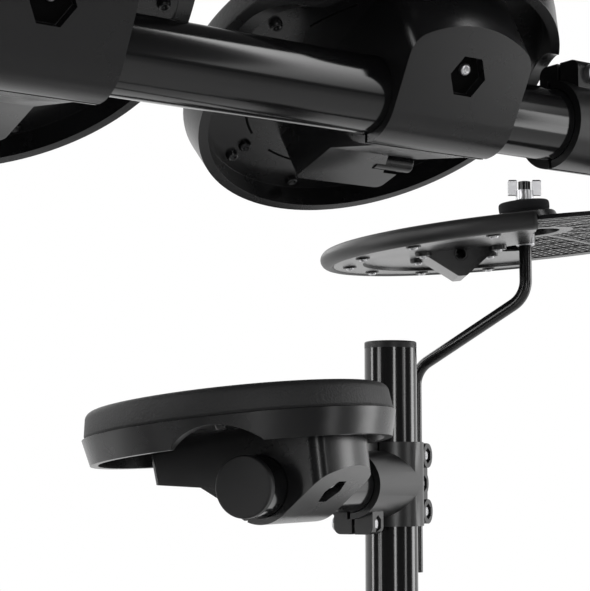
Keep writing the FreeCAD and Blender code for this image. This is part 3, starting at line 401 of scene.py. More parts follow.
KEY_MOULDING = Finish("pale_key_moulding", (0.42, 0.42, 0.44), 0.4, drift=0.08, lift=0.06)
WINDOW_GLOSS = Finish("display_window", (0.004, 0.006, 0.009), 0.06, drift=0.02, coat=0.6)
MARK_PAINT = Finish("pale_mark_paint", (0.6, 0.6, 0.6), 0.5, drift=0.05, lift=0.05)

NODE_FINISHES: dict[str, Finish] = {
    "tube_paint": GLOSS_TUBE,
    "clamp_plastic": CLAMP_MOULDING,
    "cap_plastic": CAP_MOULDING,
    "foot_rubber": FOOT_RUBBER,
    "bright_steel": BRIGHT_STEEL,
    "plate_steel": PLATE_STEEL,
    "pad_rubber": PEBBLED_RUBBER,
    "shell_plastic": SATIN_MOULDING,
    "bracket_plastic": SATIN_MOULDING,
    "rod_paint": SATIN_ROD,
    "cymbal_plastic": LATTICE_MOULDING,
    "cymbal_rubber": RIM_RUBBER,
    "felt": CHARCOAL_FELT,
    "module_plastic": MODULE_MOULDING,
    "knob_plastic": KNOB_MOULDING,
    "button_plastic": KEY_MOULDING,
}


# Mesh tools


def ray(angle: float) -> Vector:
    """The level unit direction at an angle in radians from X."""
    return Vector((math.cos(angle), math.sin(angle), 0.0))


def spot_on_ring(angle: float, radius: float, height: float) -> Vector:
    """A point at an angle in degrees on a level ring, in the unit of its radius and height."""
    turn = math.radians(angle)
    return Vector((math.cos(turn) * radius, math.sin(turn) * radius, height))


def scaled(shares: Profile, radius: float, height: float) -> Section:
    """A section given in shares of a radius and a height, at its size."""
    return [(across * radius, level * height) for across, level in shares]


def mesh_object(
    name: str, build: Callable[[bmesh.types.BMesh], None], finish: Finish, smooth: bool = True
) -> bpy.types.Object:
    """Make a mesh object from a builder.

    Args:
        name: the object's name.
        build: fills an empty bmesh, in metres.
        finish: the surface finish.
        smooth: whether its faces are shaded as one surface.

    Returns:
        The linked object.
    """
    shape = bmesh.new()
    build(shape)
    bmesh.ops.remove_doubles(shape, verts=shape.verts, dist=WELD_DISTANCE)
    bmesh.ops.recalc_face_normals(shape, faces=shape.faces)
    data = bpy.data.meshes.new(name)
    shape.to_mesh(data)
    shape.free()
    data.materials.append(finish.material())
    for polygon in data.polygons:
        polygon.use_smooth = smooth
    made = bpy.data.objects.new(name, data)
    bpy.context.scene.collection.objects.link(made)
    return made


def lathe(
    shape: bmesh.types.BMesh,
    profile: Profile,
    place: Matrix = Matrix.Identity(4),
    steps: int = PLATE_STEPS,
    start: float = 0.0,
    sweep: float = FULL_TURN,
    ripple: Callable[[float], float] | None = None,
) -> None:
    """Spin a profile of (radius, height) millimetres about Z into a bmesh.

    Args:
        shape: the bmesh to add to.
        profile: points from one end to the other.
        place: where the turned form goes, in metres.
        steps: segments round the sweep.
        start: first angle.
        sweep: swept angle; a part turn gets closed ends.
        ripple: factor on the radius by angle, for knurls.
    """
    whole = abs(sweep - FULL_TURN) < SAME_POINT
    count = steps if whole else steps + 1
    rings = []
    for index in range(count):
        angle = start + sweep * index / steps
        factor = ripple(angle) if ripple else 1.0
        ring = []
        for radius, height in profile:
            reach = radius * factor
            local = Vector((reach * math.cos(angle), reach * math.sin(angle), height)) * MM
            ring.append(shape.verts.new(place @ local))
        rings.append(ring)
    closes = (Vector(profile[0]) - Vector(profile[-1])).length < SAME_POINT
    for index in range(count if whole else count - 1):
        one = rings[index]
        two = rings[(index + 1) % count]
        for low in range(len(profile) - 1):
            corners = [one[low], two[low], two[low + 1], one[low + 1]]
            quad_without_axis(shape, corners, profile[low][0], profile[low + 1][0])
    if not whole and closes:
        for ring in (rings[0], rings[-1]):
            shape.faces.new(ring[:-1])


def quad_without_axis(shape: bmesh.types.BMesh, corners: list, low_radius: float, high_radius: float) -> None:
    """Add a quad of a turned form, or a triangle where one side lies on the axis.

    Args:
        shape: the bmesh to add to.
        corners: low, next low, next high, high vertices.
        low_radius: radius of the first two.
        high_radius: radius of the last two.
    """
    if low_radius < ON_AXIS and high_radius < ON_AXIS:
        return
    if low_radius < ON_AXIS:
        corners = [corners[0], corners[2], corners[3]]
    elif high_radius < ON_AXIS:
        corners = [corners[0], corners[1], corners[2]]
    shape.faces.new(corners)


def rounded_block(shape: bmesh.types.BMesh, size: Vector, place: Matrix, edge: float) -> None:
    """Add a block with rounded edges, centred on its placement.

    Args:
        shape: the bmesh to add to.
        size: full sizes in millimetres.
        place: where its middle goes, in metres.
        edge: edge radius in millimetres.
    """
    part = bmesh.new()
    bmesh.ops.create_cube(part, size=1.0)
    bmesh.ops.scale(part, vec=size * MM, verts=part.verts)
    bmesh.ops.bevel(
        part, geom=part.edges[:], offset=edge * MM, segments=BLOCK_SEGMENTS, profile=0.5, affect="EDGES"
    )
    bmesh.ops.transform(part, matrix=place, verts=part.verts)
    join_shape(shape, part)


def join_shape(shape: bmesh.types.BMesh, part: bmesh.types.BMesh) -> None:
    """Copy one bmesh into another and free the first.

    Args:
        shape: the bmesh to add to.
        part: the bmesh to copy.
    """
    copies = {vert: shape.verts.new(vert.co) for vert in part.verts}
    for face in part.faces:
        shape.faces.new([copies[vert] for vert in face.verts])
    part.free()


def ribbon(
    shape: bmesh.types.BMesh, centre: Sequence[Vector], across: Sequence[Vector], thick: Vector
) -> None:
    """Add a closed strip of rectangular section along points, all in metres.

    Args:
        shape: the bmesh to add to.
        centre: points along the strip.
        across: half width vector at each point.
        thick: full thickness vector.
    """
    rings = []
    for point, half in zip(centre, across):
        corners = (point - half, point + half, point + half + thick, point - half + thick)
        rings.append([shape.verts.new(corner) for corner in corners])
    for one, two in zip(rings, rings[1:]):
        bridge(shape, one, two)
    shape.faces.new(rings[0])
    shape.faces.new(rings[-1])


def bridge(shape: bmesh.types.BMesh, one: Sequence, two: Sequence) -> None:
    """Join two closed rings of as many vertices with quads.

    Args:
        shape: the bmesh that holds them.
        one: the first ring.
        two: the second ring.
    """
    count = len(one)
    for index in range(count):
        following = (index + 1) % count
        shape.faces.new((one[index], one[following], two[following], two[index]))


def arc_points(
    centre: tuple[float, float], radius: float, begin: float, end: float, count: int
) -> Section:
    """Points of an arc in a profile plane.

    Args:
        centre: the arc's centre.
        radius: its radius.
        begin: first angle in degrees.
        end: last angle in degrees.
        count: number of points.

    Returns:
        A list of (x, y) points.
    """
    points = []
    for index in range(count):
        angle = math.radians(begin + (end - begin) * index / (count - 1))
        points.append((centre[0] + radius * math.cos(angle), centre[1] + radius * math.sin(angle)))
    return points


SHARP_EDGE = 32.0
EDGE_SEGMENTS = 2
BLOCK_SEGMENTS = 3


def soften_edges(node: bpy.types.Object, width: float) -> None:
    """Round the edges that turn by more than SHARP_EDGE degrees, as a mould or tool leaves them.

    Args:
        node: the object that gets the modifiers.
        width: edge radius in millimetres.
    """
    weld = node.modifiers.new("join_facets", "WELD")
    weld.merge_threshold = FACET_WELD
    round_off = node.modifiers.new("soft_edges", "BEVEL")
    round_off.width = width * MM
    round_off.segments = EDGE_SEGMENTS
    round_off.limit_method = "ANGLE"
    round_off.angle_limit = math.radians(SHARP_EDGE)
    round_off.harden_normals = False
    shading = node.modifiers.new("even_shading", "WEIGHTED_NORMAL")
    shading.keep_sharp = False


# A pan-head screw's section in shares of its radius and height: rim, rounded top, socket and its floor

SCREW_SECTION = ((1.0, 0.0), (1.0, 0.45), (0.86, 0.85), (0.6, 1.0), (0.45, 1.0), (0.414, 0.35), (0.0, 0.3))


def screw_head(shape: bmesh.types.BMesh, place: Matrix, radius: float, height: float) -> None:
    """Add a pan-head screw with a socket, standing on its placement's XY plane.

    Args:
        shape: the bmesh to add to.
        place: seat and outward direction (Z), in metres.
        radius: head radius in millimetres.
        height: head height in millimetres.
    """
    lathe(shape, scaled(SCREW_SECTION, radius, height), place, SCREW_STEPS)


# Frames of the moving pieces


@dataclass(frozen=True)
class Placing:
    """Attributes:
        origin: the joint's place, in metres.
        along: direction of the piece's own X.
        tilt: turn about that X, in radians, towards the player.
    """

    origin: Vector
    along: Vector
    tilt: float

    def matrix(self) -> Matrix:
        """Work out the frame.
        """
        up = Vector((0.0, 0.0, 1.0))
        level = up.cross(self.along).normalized()
        across = level * math.cos(self.tilt) - up * math.sin(self.tilt)
        normal = level * math.sin(self.tilt) + up * math.cos(self.tilt)
        turn = Matrix((self.along, across, normal)).transposed().to_4x4()
        return Matrix.Translation(self.origin) @ turn


class JointTable:
    def __init__(self, joints: Iterable[dict]) -> None:
        """Keep the joints by name.

        Args:
            joints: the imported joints.
        """
        self.joints = {joint["name"]: joint for joint in joints}

    def place(self, name: str) -> Vector:
        """Where a joint is, in metres."""
        return Vector(self.joints[name]["pos_m"])

    def axis(self, name: str) -> Vector:
        """A joint's axis."""
        return Vector(self.joints[name]["axis"]).normalized()


# Sub-assemblies


@dataclass
class PadAssembly:
    """A pad that moves as one body, and the pieces that are added to it."""

    name: str
    body: str
    pieces: list[bpy.types.Object] = field(default_factory=list, kw_only=True)

    def keep(self, piece: bpy.types.Object, slot: str) -> None:
        """Let a piece ride with the pad.

        Args:
            piece: the added object.
            slot: its finish slot; not used.
        """
        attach(piece, self.body)
        self.pieces.append(piece)


@dataclass
class DrumPad(PadAssembly):
    """A drum pad's rubber head and sensor plate, and the details of its underside.

    Heights are counted from the axis of the tube that carries the pad. The crown's points are shares
    of the head's flat radius and of the crown, and the boss's section is in shares of its radius and height.
    """

    placing: Placing
    offset: float = 29.6
    seat: float = 41.4
    head_thickness: float = 17.4
    head_radius: float = 99.4
    head_taper: float = 1.4
    head_round: float = 5.5
    head_round_angles: tuple[float, float] = (88.0, 4.0)
    head_round_points: int = 9
    crown: float = 0.4
    crown_points: Profile = ((0.0, 1.0), (0.5, 0.75), (0.85, 0.25))
    groove: float = 0.8
    groove_lip: float = 0.25
    deck: float = 36.8
    slot_ring: float = 69.0
    slot_width: float = 1.3
    slot_span: float = 21.0
    slot_thickness: float = 0.12
    slot_angles: tuple[float, ...] = (-38.0, 0.0, 38.0, 76.0, 104.0, 142.0, 180.0, 218.0)
    boss_ring: float = 85.0
    boss_radius: float = 3.0
    boss_height: float = 2.6
    boss_section: Profile = ((1.15, 0.0), (1.0, -0.8), (0.9, -1.0), (0.5, -1.0), (0.45, -0.4), (0.0, -0.4))
    boss_angles: tuple[float, ...] = (-20.0, 20.0, 56.0, 90.0, 124.0, 160.0, 200.0)
    sensor_radius: float = 89.0
    sensor_low: float = 39.8
    sensor_thickness: float = 1.2
    screw_ring: float = 76.0
    screw_radius: float = 3.5
    screw_height: float = 2.6
    screw_angles: tuple[float, ...] = (18.0, 54.0, 126.0, 162.0)
    strap_radius: float = 23.35
    slope: float = 35.0
    window_climb: float = 21.29
    window_depth: float = 5.0
    window_side: float = 11.0
    window_gap: float = 0.3
    shadow_levels: tuple[float, float] = (0.02, 0.1)
    bolt_climb: float = 2.6
    bolt_radius: float = 3.1
    bolt_height: float = 2.5

    def frame(self) -> Matrix:
        """The pad's own frame with its Z axis through the middle of the head."""
        return self.placing.matrix() @ Matrix.Translation((0.0, self.offset * MM, 0.0))

    def head_profile(self) -> Section:
        """Draw the rubber head's section.

        Returns:
            Points from the middle of its top to the middle of its underside.
        """
        top = self.seat + self.head_thickness
        wide = self.head_radius - self.head_taper
        corner = (wide - self.head_round, top - self.head_round)
        section = [(wide * share, top + self.crown * level) for share, level in self.crown_points]
        section += arc_points(corner, self.head_round, *self.head_round_angles, self.head_round_points)
        low = self.seat + 2.0 * self.groove
        section += [(self.head_radius, low + self.groove), (self.head_radius - self.groove_lip, low)]
        section += [(self.head_radius - self.groove, self.seat + self.groove)]
        section += [(self.head_radius - self.groove, self.seat), (0.0, self.seat)]
        return section

    def build_head(self) -> None:
        """Turn the rubber head and let it stand for the plain solid."""
        place = self.frame()
        profile = self.head_profile()
        head = mesh_object(
            f"{self.name}_rubber_head", lambda shape: lathe(shape, profile, place, HEAD_STEPS), PEBBLED_RUBBER
        )
        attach(head, self.body)
        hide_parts(f"{self.name}_head")
        self.pieces.append(head)

    def build_slot_shade(self) -> None:
        """Lay thin strips of painted shade on the underside of the deck, where its moulded slots are in
        shade.
        """
        place = self.frame()
        turn = place.to_3x3()

        def build(shape: bmesh.types.BMesh) -> None:
            """Add one curved strip for each slot."""
            for middle in self.slot_angles:
                centre = []
                across = []
                for step in range(STRIP_POINTS):
                    share = step / (STRIP_POINTS - 1)
                    outward = ray(math.radians(middle + self.slot_span * (share - 0.5)))
                    centre.append(place @ (outward * self.slot_ring * MM + Vector((0, 0, self.deck * MM))))
                    across.append(turn @ outward * (self.slot_width / 2 * MM))
                ribbon(shape, centre, across, turn @ Vector((0.0, 0.0, -self.slot_thickness * MM)))

        self.keep(mesh_object(f"{self.name}_deck_slots", build, SLOT_SHADOW), "shell_plastic")

    def build_bosses(self) -> None:
        """Stand the screw bosses under the deck along the wall."""
        place = self.frame()
        profile = scaled(self.boss_section, self.boss_radius, self.boss_height)

        def build(shape: bmesh.types.BMesh) -> None:
            """Turn one hollow boss at each place."""
            for angle in self.boss_angles:
                spot = spot_on_ring(angle, self.boss_ring, self.deck)
                lathe(shape, profile, place @ Matrix.Translation(spot * MM), SCREW_STEPS)

        self.keep(mesh_object(f"{self.name}_deck_bosses", build, SATIN_MOULDING), "shell_plastic")

    def build_sensor(self) -> None:
        """Turn the steel sensor plate that lies between the deck and the head."""
        low = self.sensor_low
        high = low + self.sensor_thickness
        profile = [(0.0, low), (self.sensor_radius, low), (self.sensor_radius, high), (0.0, high)]
        place = self.frame()
        plate = mesh_object(
            f"{self.name}_sensor_plate", lambda shape: lathe(shape, profile, place), PLATE_STEEL
        )
        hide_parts(f"{self.name}_hardware")
        self.keep(plate, "plate_steel")

    def build_deck_screws(self) -> None:
        """Set the blackened screws under the deck."""
        down = Matrix.Rotation(math.pi, 4, "X")
        place = self.frame()

        def build(shape: bmesh.types.BMesh) -> None:
            """Turn a screw head at each place."""
            for angle in self.screw_angles:
                spot = spot_on_ring(angle, self.screw_ring, self.deck)
                seat = place @ Matrix.Translation(spot * MM) @ down
                screw_head(shape, seat, self.screw_radius, self.screw_height)

        self.keep(mesh_object(f"{self.name}_deck_screws", build, DARK_SCREW), "plate_steel")

    def window_floor(self) -> Matrix:
        """Find the floor of the hexagonal window.

        Returns:
            A frame on it with Z outward and Y up the sloping face.
        """
        slope = math.radians(self.slope)
        outward = Vector((0.0, -math.sin(slope), -math.cos(slope)))
        upward = Vector((0.0, -math.cos(slope), math.sin(slope)))
        centre = outward * (self.strap_radius - self.window_depth) + upward * self.window_climb
        turn = Matrix((upward.cross(outward), upward, outward)).transposed().to_4x4()
        return self.placing.matrix() @ Matrix.Translation(centre * MM) @ turn

    def build_window_bolt(self) -> None:
        """Lay the shadow of the deep window and stand the bright bolt in it."""
        place = self.window_floor()
        side = self.window_side - self.window_gap
        angles = [360.0 / HEX_SIDES * step for step in range(HEX_SIDES)]

        def build_shadow(shape: bmesh.types.BMesh) -> None:
            """Add a thin hexagon on the window's floor."""
            rings = []
            for height in self.shadow_levels:
                corners = [spot_on_ring(angle, side, height) for angle in angles]
                rings.append([shape.verts.new(place @ (corner * MM)) for corner in corners])
            shape.faces.new(rings[0])
            shape.faces.new(rings[1])
            bridge(shape, *rings)

        shadow = mesh_object(f"{self.name}_window_shadow", build_shadow, SLOT_SHADOW, smooth=False)
        self.keep(shadow, "bracket_plastic")
        seat = place @ Matrix.Translation((0.0, self.bolt_climb * MM, self.shadow_levels[1] * MM))
        bolt = mesh_object(
            f"{self.name}_window_bolt",
            lambda shape: screw_head(shape, seat, self.bolt_radius, self.bolt_height),
            BRIGHT_STEEL,
        )
        self.keep(bolt, "bright_steel")

    def build(self) -> None:
        """Make all of the pad's added pieces."""
        self.build_head()
        self.build_slot_shade()
        self.build_bosses()
        self.build_sensor()
        self.build_deck_screws()
        self.build_window_bolt()


@dataclass
class CymbalPad(PadAssembly):
    """A cymbal pad: raised bell, open lattice half, rubber half, rim channel, screws and felts.

    Heights are counted from the plane of the rim; X points to the trigger box. The sections of a screw's
    cup and of a box's ear are radii and heights from the seat.
    """

    frame: Matrix
    radius: float = 152.4
    rise: float = 8.0
    thickness: float = 3.0
    bell_rise: float = 12.0
    bell_top_radius: float = 22.2
    bell_foot_radius: float = 27.2
    bell_flare: float = 0.3
    bell_shoulder: float = 1.2
    bell_chamfer: float = 0.9
    bow_radius: float = 149.4
    covered_radius: float = 143.4
    hole: float = 7.5
    hub_band: float = 7.0
    rim_band: float = 10.0
    section_pitch: float = 12.0
    overlap: float = 0.4
    edge_round: float = 0.5
    rib: float = 4.0
    rib_overlap: float = 1.0
    spans: int = 6
    rings: int = 4
    playing_turn: float = -5.7
    cell: float = 6.6
    web: float = 0.96
    lattice_share: float = 0.7
    bead: float = 6.25
    bead_points: int = 15
    bead_lip: float = 1.0
    bead_chamfers: tuple[float, float] = (0.3, 1.4)
    layer: float = 3.4
    layer_points: int = 13
    channel_width: float = 22.0
    channel_drop: float = 7.4
    channel_wall: float = 2.0
    plate_sink: float = 2.2
    plate_inner: float = 24.0
    plate_lap: float = 0.5
    plate_thickness: float = 1.2
    screw_ring: float = 131.5
    screw_angles: tuple[float, ...] = (-84.0, -58.0, -32.0, -6.0, 20.0, 46.0, 72.0)
    cup_section: Profile = ((5.2, 0.0), (5.0, 0.9), (4.6, 1.2), (3.6, 1.2), (3.4, 0.5), (0.0, 0.5))
    cup_floor: float = 0.5
    cup_screw: tuple[float, float] = (3.1, 2.0)
    ear_spots: Profile = ((25.0, 24.5), (79.0, 24.5), (25.0, -24.5), (79.0, -24.5))
    ear_level: float = -8.0
    ear_section: Profile = ((6.2, -9.0), (6.0, -1.0), (5.4, 0.0), (3.4, 0.0), (3.2, -0.8), (0.0, -0.8))
    ear_floor: float = -0.8
    ear_screw: tuple[float, float] = (3.0, 2.2)
    jack_mouth: tuple[float, float, float] = (52.0, 23.0, -8.0)
    jack_tilt: float = 5.0
    jack_sink: float = 2.0
    nut_radius: float = 4.9
    nut_hole: float = 3.4
    nut_height: float = 2.5
    nut_edge: float = 0.5
    nut_mouth: float = 0.3
    felt_radius: float = 18.5
    felt_height: float = 8.0
    felt_hole: float = 7.0
    felt_round: float = 2.2
    felt_round_points: int = 6
    felt_chamfer: tuple[float, float] = (0.8, 0.3)
    felt_swell: float = 0.1
    seat_gap: float = 0.2

    def dome(self, radius: float) -> float:
        """Height of the bow's top surface at a radius."""
        ball = (self.radius ** 2 + self.rise ** 2) / (2 * self.rise)
        return math.sqrt(ball ** 2 - radius ** 2) - ball + self.rise

    def bell_top(self) -> float:
        """Height of the bell's top."""
        return self.rise + self.bell_rise

    def first_angle(self, half: Half) -> float:
        """The angle, in radians, at which a half begins."""
        return math.radians(half.value + self.playing_turn)

    def ring_profile(self, inner: float, outer: float, low: float, high: float) -> Section:
        """Draw a closed section between two surfaces that follow the dome.

        Args:
            inner: the smallest radius.
            outer: the largest radius.
            low: height of the lower surface over the dome.
            high: height of the upper surface over the dome.

        Returns:
            The section's points.
        """
        count = 2 + int((outer - inner) / self.section_pitch)
        radii = [inner + (outer - inner) * index / (count - 1) for index in range(count)]
        bottom = [(radius, self.dome(radius) + low) for radius in radii]
        top = [(radius, self.dome(radius) + high) for radius in reversed(radii)]
        return bottom + top + bottom[:1]

    def bell_profile(self) -> Section:
        """Draw the closed section of the raised bell round the rod's hole.

        Returns:
            The section's points.
        """
        top = self.bell_top()
        wall = self.thickness
        foot = self.bell_foot_radius
        section = [
            (foot, self.dome(foot)), (self.bell_top_radius + self.bell_flare, top - self.bell_shoulder),
            (self.bell_top_radius - self.bell_chamfer, top), (self.hole, top), (self.hole, top - wall),
            (self.bell_top_radius - wall, top - wall),
            (foot - wall, self.dome(foot - wall) - wall), (foot, self.dome(foot) - wall),
        ]
        return section + section[:1]

    def channel_profile(self) -> Section:
        """Draw the closed section of the channel under the rim of the playing half.

        Returns:
            The section's points.
        """
        outer = self.covered_radius
        inner = outer - self.channel_width
        wall = self.channel_wall
        low = -self.channel_drop
        outer_top = self.dome(outer) - wall / 2
        inner_top = self.dome(inner) - wall / 2
        section = [
            (inner, low), (outer, low), (outer, outer_top), (outer - wall, outer_top),
            (outer - wall, low + wall), (inner + wall, low + wall),
            (inner + wall, inner_top), (inner, inner_top),
        ]
        return section + section[:1]

    def build_bow(self) -> None:
        """Make the bow: bell, plate and channel under the rubber, rim band and ribs of the open half."""
        frame = self.frame
        hub = self.bell_foot_radius + self.hub_band
        playing = self.first_angle(Half.PLAYING)
        bare = self.first_angle(Half.OPEN)

        def build(shape: bmesh.types.BMesh) -> None:
            """Add the solid parts of the bow."""
            lathe(shape, self.bell_profile(), frame, BELL_STEPS)
            foot = self.ring_profile(self.bell_foot_radius - self.overlap, hub, -self.thickness, 0.0)
            lathe(shape, foot, frame, BELL_STEPS)
            covered = self.ring_profile(hub - self.overlap, self.covered_radius, -self.thickness, 0.0)
            lathe(shape, covered, frame, PLATE_STEPS, playing, math.pi)
            lathe(shape, self.channel_profile(), frame, PLATE_STEPS, playing, math.pi)
            inner = self.bow_radius - self.rim_band
            band = self.ring_profile(inner, self.bow_radius, -self.thickness, 0.0)
            lathe(shape, band, frame, PLATE_STEPS, bare, math.pi)
            self.add_ribs(shape, hub, inner)

        bow = mesh_object(f"{self.name}_bow_frame", build, LATTICE_MOULDING)
        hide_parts(f"{self.name}_bow")
        self.keep(bow, "cymbal_plastic")
        soften_edges(bow, self.edge_round)

    def add_ribs(self, shape: bmesh.types.BMesh, inner: float, outer: float) -> None:
        """Add the straight ribs of the open half: spokes, and rings of chords between them.

        Args:
            shape: the bmesh to add to.
            inner: radius of the hub's edge.
            outer: radius of the rim band's inner edge.
        """
        bare = self.first_angle(Half.OPEN)
        span = math.pi / self.spans
        pitch = (outer - inner + self.rib) / self.rings
        for index in range(self.spans + 1):
            outward = ray(bare + index * span)
            first = outward * (inner - self.rib_overlap)
            self.add_rib(shape, first, outward * (outer + self.rib_overlap), self.rib / 2)
        for ring in range(1, self.rings):
            radius = inner + ring * pitch - self.rib / 2
            for index in range(self.spans):
                first, last = (ray(bare + (index + step) * span) * radius for step in (0, 1))
                self.add_rib(shape, first, last, self.rib / 3)

    def add_rib(self, shape: bmesh.types.BMesh, first: Vector, last: Vector, half: float) -> None:
        """Add one rib that follows the dome between two level points.

        Args:
            shape: the bmesh to add to.
            first: start of the rib, in millimetres.
            last: end of the rib, in millimetres.
            half: half of the rib's width.
        """
        turn = self.frame.to_3x3()
        run = (last - first).normalized()
        side = turn @ (Vector((-run.y, run.x, 0.0)) * half * MM)
        centre = []
        for step in range(STRIP_POINTS):
            spot = first.lerp(last, step / (STRIP_POINTS - 1))
            spot.z = self.dome(math.hypot(spot.x, spot.y)) - self.thickness
            centre.append(self.frame @ (spot * MM))
        ribbon(shape, centre, [side] * STRIP_POINTS, turn @ Vector((0.0, 0.0, self.thickness * MM)))

    def build_lattice(self) -> None:
        """Make the fine honeycomb that fills the openings of the half that isn't played."""
        frame = self.frame @ Matrix.Rotation(math.radians(self.playing_turn), 4, "Z")
        limit = self.bow_radius - self.rim_band / 2
        hub = self.bell_foot_radius + self.hub_band
        pitch = self.cell * math.sqrt(3) / 2
        rows = int(limit / pitch) + 1

        def build(shape: bmesh.types.BMesh) -> None:
            """Add a hexagonal frame for each cell whose middle lies in the open half."""
            for row in range(-rows, rows + 1):
                y = row * pitch
                shift = self.cell / 2 if row % 2 else 0.0
                for column in range(-rows, 1):
                    x = column * self.cell + shift
                    radius = math.hypot(x, y)
                    if x < -self.cell / 2 and hub - self.cell / 2 < radius < limit - self.cell / 2:
                        self.add_cell(shape, x, y)

        lattice = mesh_object(f"{self.name}_bow_lattice", build, LATTICE_MOULDING, smooth=False)
        for vertex in lattice.data.vertices:
            vertex.co = frame @ vertex.co
        thick = lattice.modifiers.new("sheet", "SOLIDIFY")
        thick.thickness = self.thickness * self.lattice_share * MM
        thick.offset = 0.0
        self.keep(lattice, "cymbal_plastic")

    def add_cell(self, shape: bmesh.types.BMesh, x: float, y: float) -> None:
        """Add one honeycomb cell's frame, on the middle surface of the bow.

        Args:
            shape: the bmesh to add to.
            x: the cell's middle, in millimetres.
            y: the cell's middle, in millimetres.
        """
        outer = []
        inner = []
        corner = self.cell / math.sqrt(3)
        for step in range(HEX_SIDES):
            angle = FULL_TURN * (step + 0.5) / HEX_SIDES
            for ring, reach in ((outer, corner), (inner, corner - self.web)):
                px = x + reach * math.cos(angle)
                py = y + reach * math.sin(angle)
                height = self.dome(min(math.hypot(px, py), self.radius)) - self.thickness / 2
                ring.append(shape.verts.new(Vector((px, py, height)) * MM))
        bridge(shape, outer, inner)

    def build_rubber(self) -> None:
        """Turn the rubber half with its rim bead and let it stand for the plain solid."""
        bead = self.bead
        edge = self.radius - bead
        top = self.dome(edge) + self.layer
        first = self.bell_foot_radius + 2 * self.seat_gap
        gaps = self.layer_points - 1
        radii = [first + (edge - first) * step / gaps for step in range(gaps)]
        upper = [(radius, self.dome(radius) + self.layer) for radius in radii]
        nose = arc_points((edge, top - bead), bead, 90.0, -90.0, self.bead_points)
        inner = self.covered_radius + self.seat_gap
        bottom = top - 2 * bead
        outside, inside = self.bead_chamfers
        low = [(inner + self.bead_lip, bottom + outside), (inner, bottom + inside), (inner, self.dome(inner))]
        lower = [(radius, self.dome(radius) + self.seat_gap) for radius in reversed(radii)]
        profile = upper + nose + low + lower + upper[:1]
        frame = self.frame
        playing = self.first_angle(Half.PLAYING)
        rubber = mesh_object(
            f"{self.name}_rubber_half",
            lambda shape: lathe(shape, profile, frame, RUBBER_STEPS, playing, math.pi),
            RIM_RUBBER,
        )
        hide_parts(f"{self.name}_rubber")
        self.keep(rubber, "cymbal_rubber")

    def build_underplate(self) -> None:
        """Close the playing half from below with a flat plate, a little higher than the rim channel."""
        frame = self.frame
        playing = self.first_angle(Half.PLAYING)
        outer = self.covered_radius - self.channel_width + self.plate_lap
        low = self.plate_sink - self.channel_drop
        high = low + self.plate_thickness
        inner = self.plate_inner
        profile = [(inner, low), (outer, low), (outer, high), (inner, high), (inner, low)]
        plate = mesh_object(
            f"{self.name}_underplate",
            lambda shape: lathe(shape, profile, frame, PLATE_STEPS, playing, math.pi),
            LATTICE_MOULDING,
            smooth=False,
        )
        self.keep(plate, "cymbal_plastic")

    def build_screws(self) -> None:
        """Stand the screws in black cups on the rim channel, and the trigger box's screws on their ears."""
        down = Matrix.Rotation(math.pi, 4, "X")
        rim_spots = [spot_on_ring(angle, self.screw_ring, -self.channel_drop) for angle in self.screw_angles]
        box_spots = [Vector((x, y, self.ear_level)) for x, y in self.ear_spots]
        seatings = (
            (rim_spots, self.cup_section, self.cup_floor, self.cup_screw),
            (box_spots, self.ear_section, self.ear_floor, self.ear_screw),
        )

        def build_cups(shape: bmesh.types.BMesh) -> None:
            """Turn a black cup at each rim screw and an ear at each corner of the box."""
            for spots, section, _, _ in seatings:
                for spot in spots:
                    lathe(shape, section, self.frame @ Matrix.Translation(spot * MM) @ down, CUP_STEPS)

        def build_heads(shape: bmesh.types.BMesh) -> None:
            """Turn a bright screw head in each cup and ear."""
            for spots, _, floor, screw in seatings:
                sunk = Matrix.Translation((0.0, 0.0, floor * MM))
                for spot in spots:
                    screw_head(shape, self.frame @ Matrix.Translation(spot * MM) @ down @ sunk, *screw)

        self.keep(mesh_object(f"{self.name}_screw_cups", build_cups, SATIN_MOULDING), "cymbal_plastic")
        self.keep(mesh_object(f"{self.name}_rim_screws", build_heads, BRIGHT_STEEL), "bright_steel")

    def build_jack_nut(self) -> None:
        """Set the ring nut of the jack in the trigger box's side."""
        aim = Matrix.Rotation(-math.pi / 2 - math.radians(self.jack_tilt), 4, "X")
        sink = Matrix.Translation((0.0, 0.0, -self.jack_sink * MM))
        place = self.frame @ Matrix.Translation(Vector(self.jack_mouth) * MM) @ aim @ sink
        wide, hole, top = self.nut_radius, self.nut_hole, self.nut_height
        shoulder = top - self.nut_edge
        profile = [
            (wide, 0.0), (wide, shoulder), (wide - self.nut_edge, top), (hole + self.nut_mouth, top),
            (hole, shoulder), (hole, 0.0), (wide, 0.0),
        ]
        nut = mesh_object(
            f"{self.name}_jack_nut", lambda shape: lathe(shape, profile, place, NUT_STEPS), SATIN_ROD
        )
        self.keep(nut, "cymbal_plastic")

    def build_felts(self) -> None:
        """Make the two felts with soft, slightly swollen sides."""
        under = self.bell_top() - self.thickness - self.seat_gap - self.felt_height
        over = self.bell_top() + self.seat_gap
        height = self.felt_height
        wide = self.felt_radius
        bend = self.felt_round
        sides = arc_points((wide - bend, height - bend), bend, 90.0, 0.0, self.felt_round_points)
        hole = self.felt_hole
        cut, rise = self.felt_chamfer
        section = [(hole, rise), (hole, height - rise), (hole + cut, height)]
        section += sides + [(wide + self.felt_swell, height / 2)]
        section += [(radius, height - level) for radius, level in reversed(sides)]
        section += [(hole + cut, 0.0), (hole, rise)]
        frame = self.frame

        def build(shape: bmesh.types.BMesh) -> None:
            """Turn both felts."""
            for level in (under, over):
                lathe(shape, section, frame @ Matrix.Translation((0.0, 0.0, level * MM)), ROUND_STEPS)

        felts = mesh_object(f"{self.name}_felt_washers", build, CHARCOAL_FELT)
        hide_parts(f"{self.name}_felts")
        self.keep(felts, "felt")

    def build(self) -> None:
        """Make all of the cymbal's added pieces."""
        self.build_bow()
        self.build_lattice()
        self.build_rubber()
        self.build_underplate()
        self.build_screws()
        self.build_jack_nut()
        self.build_felts()


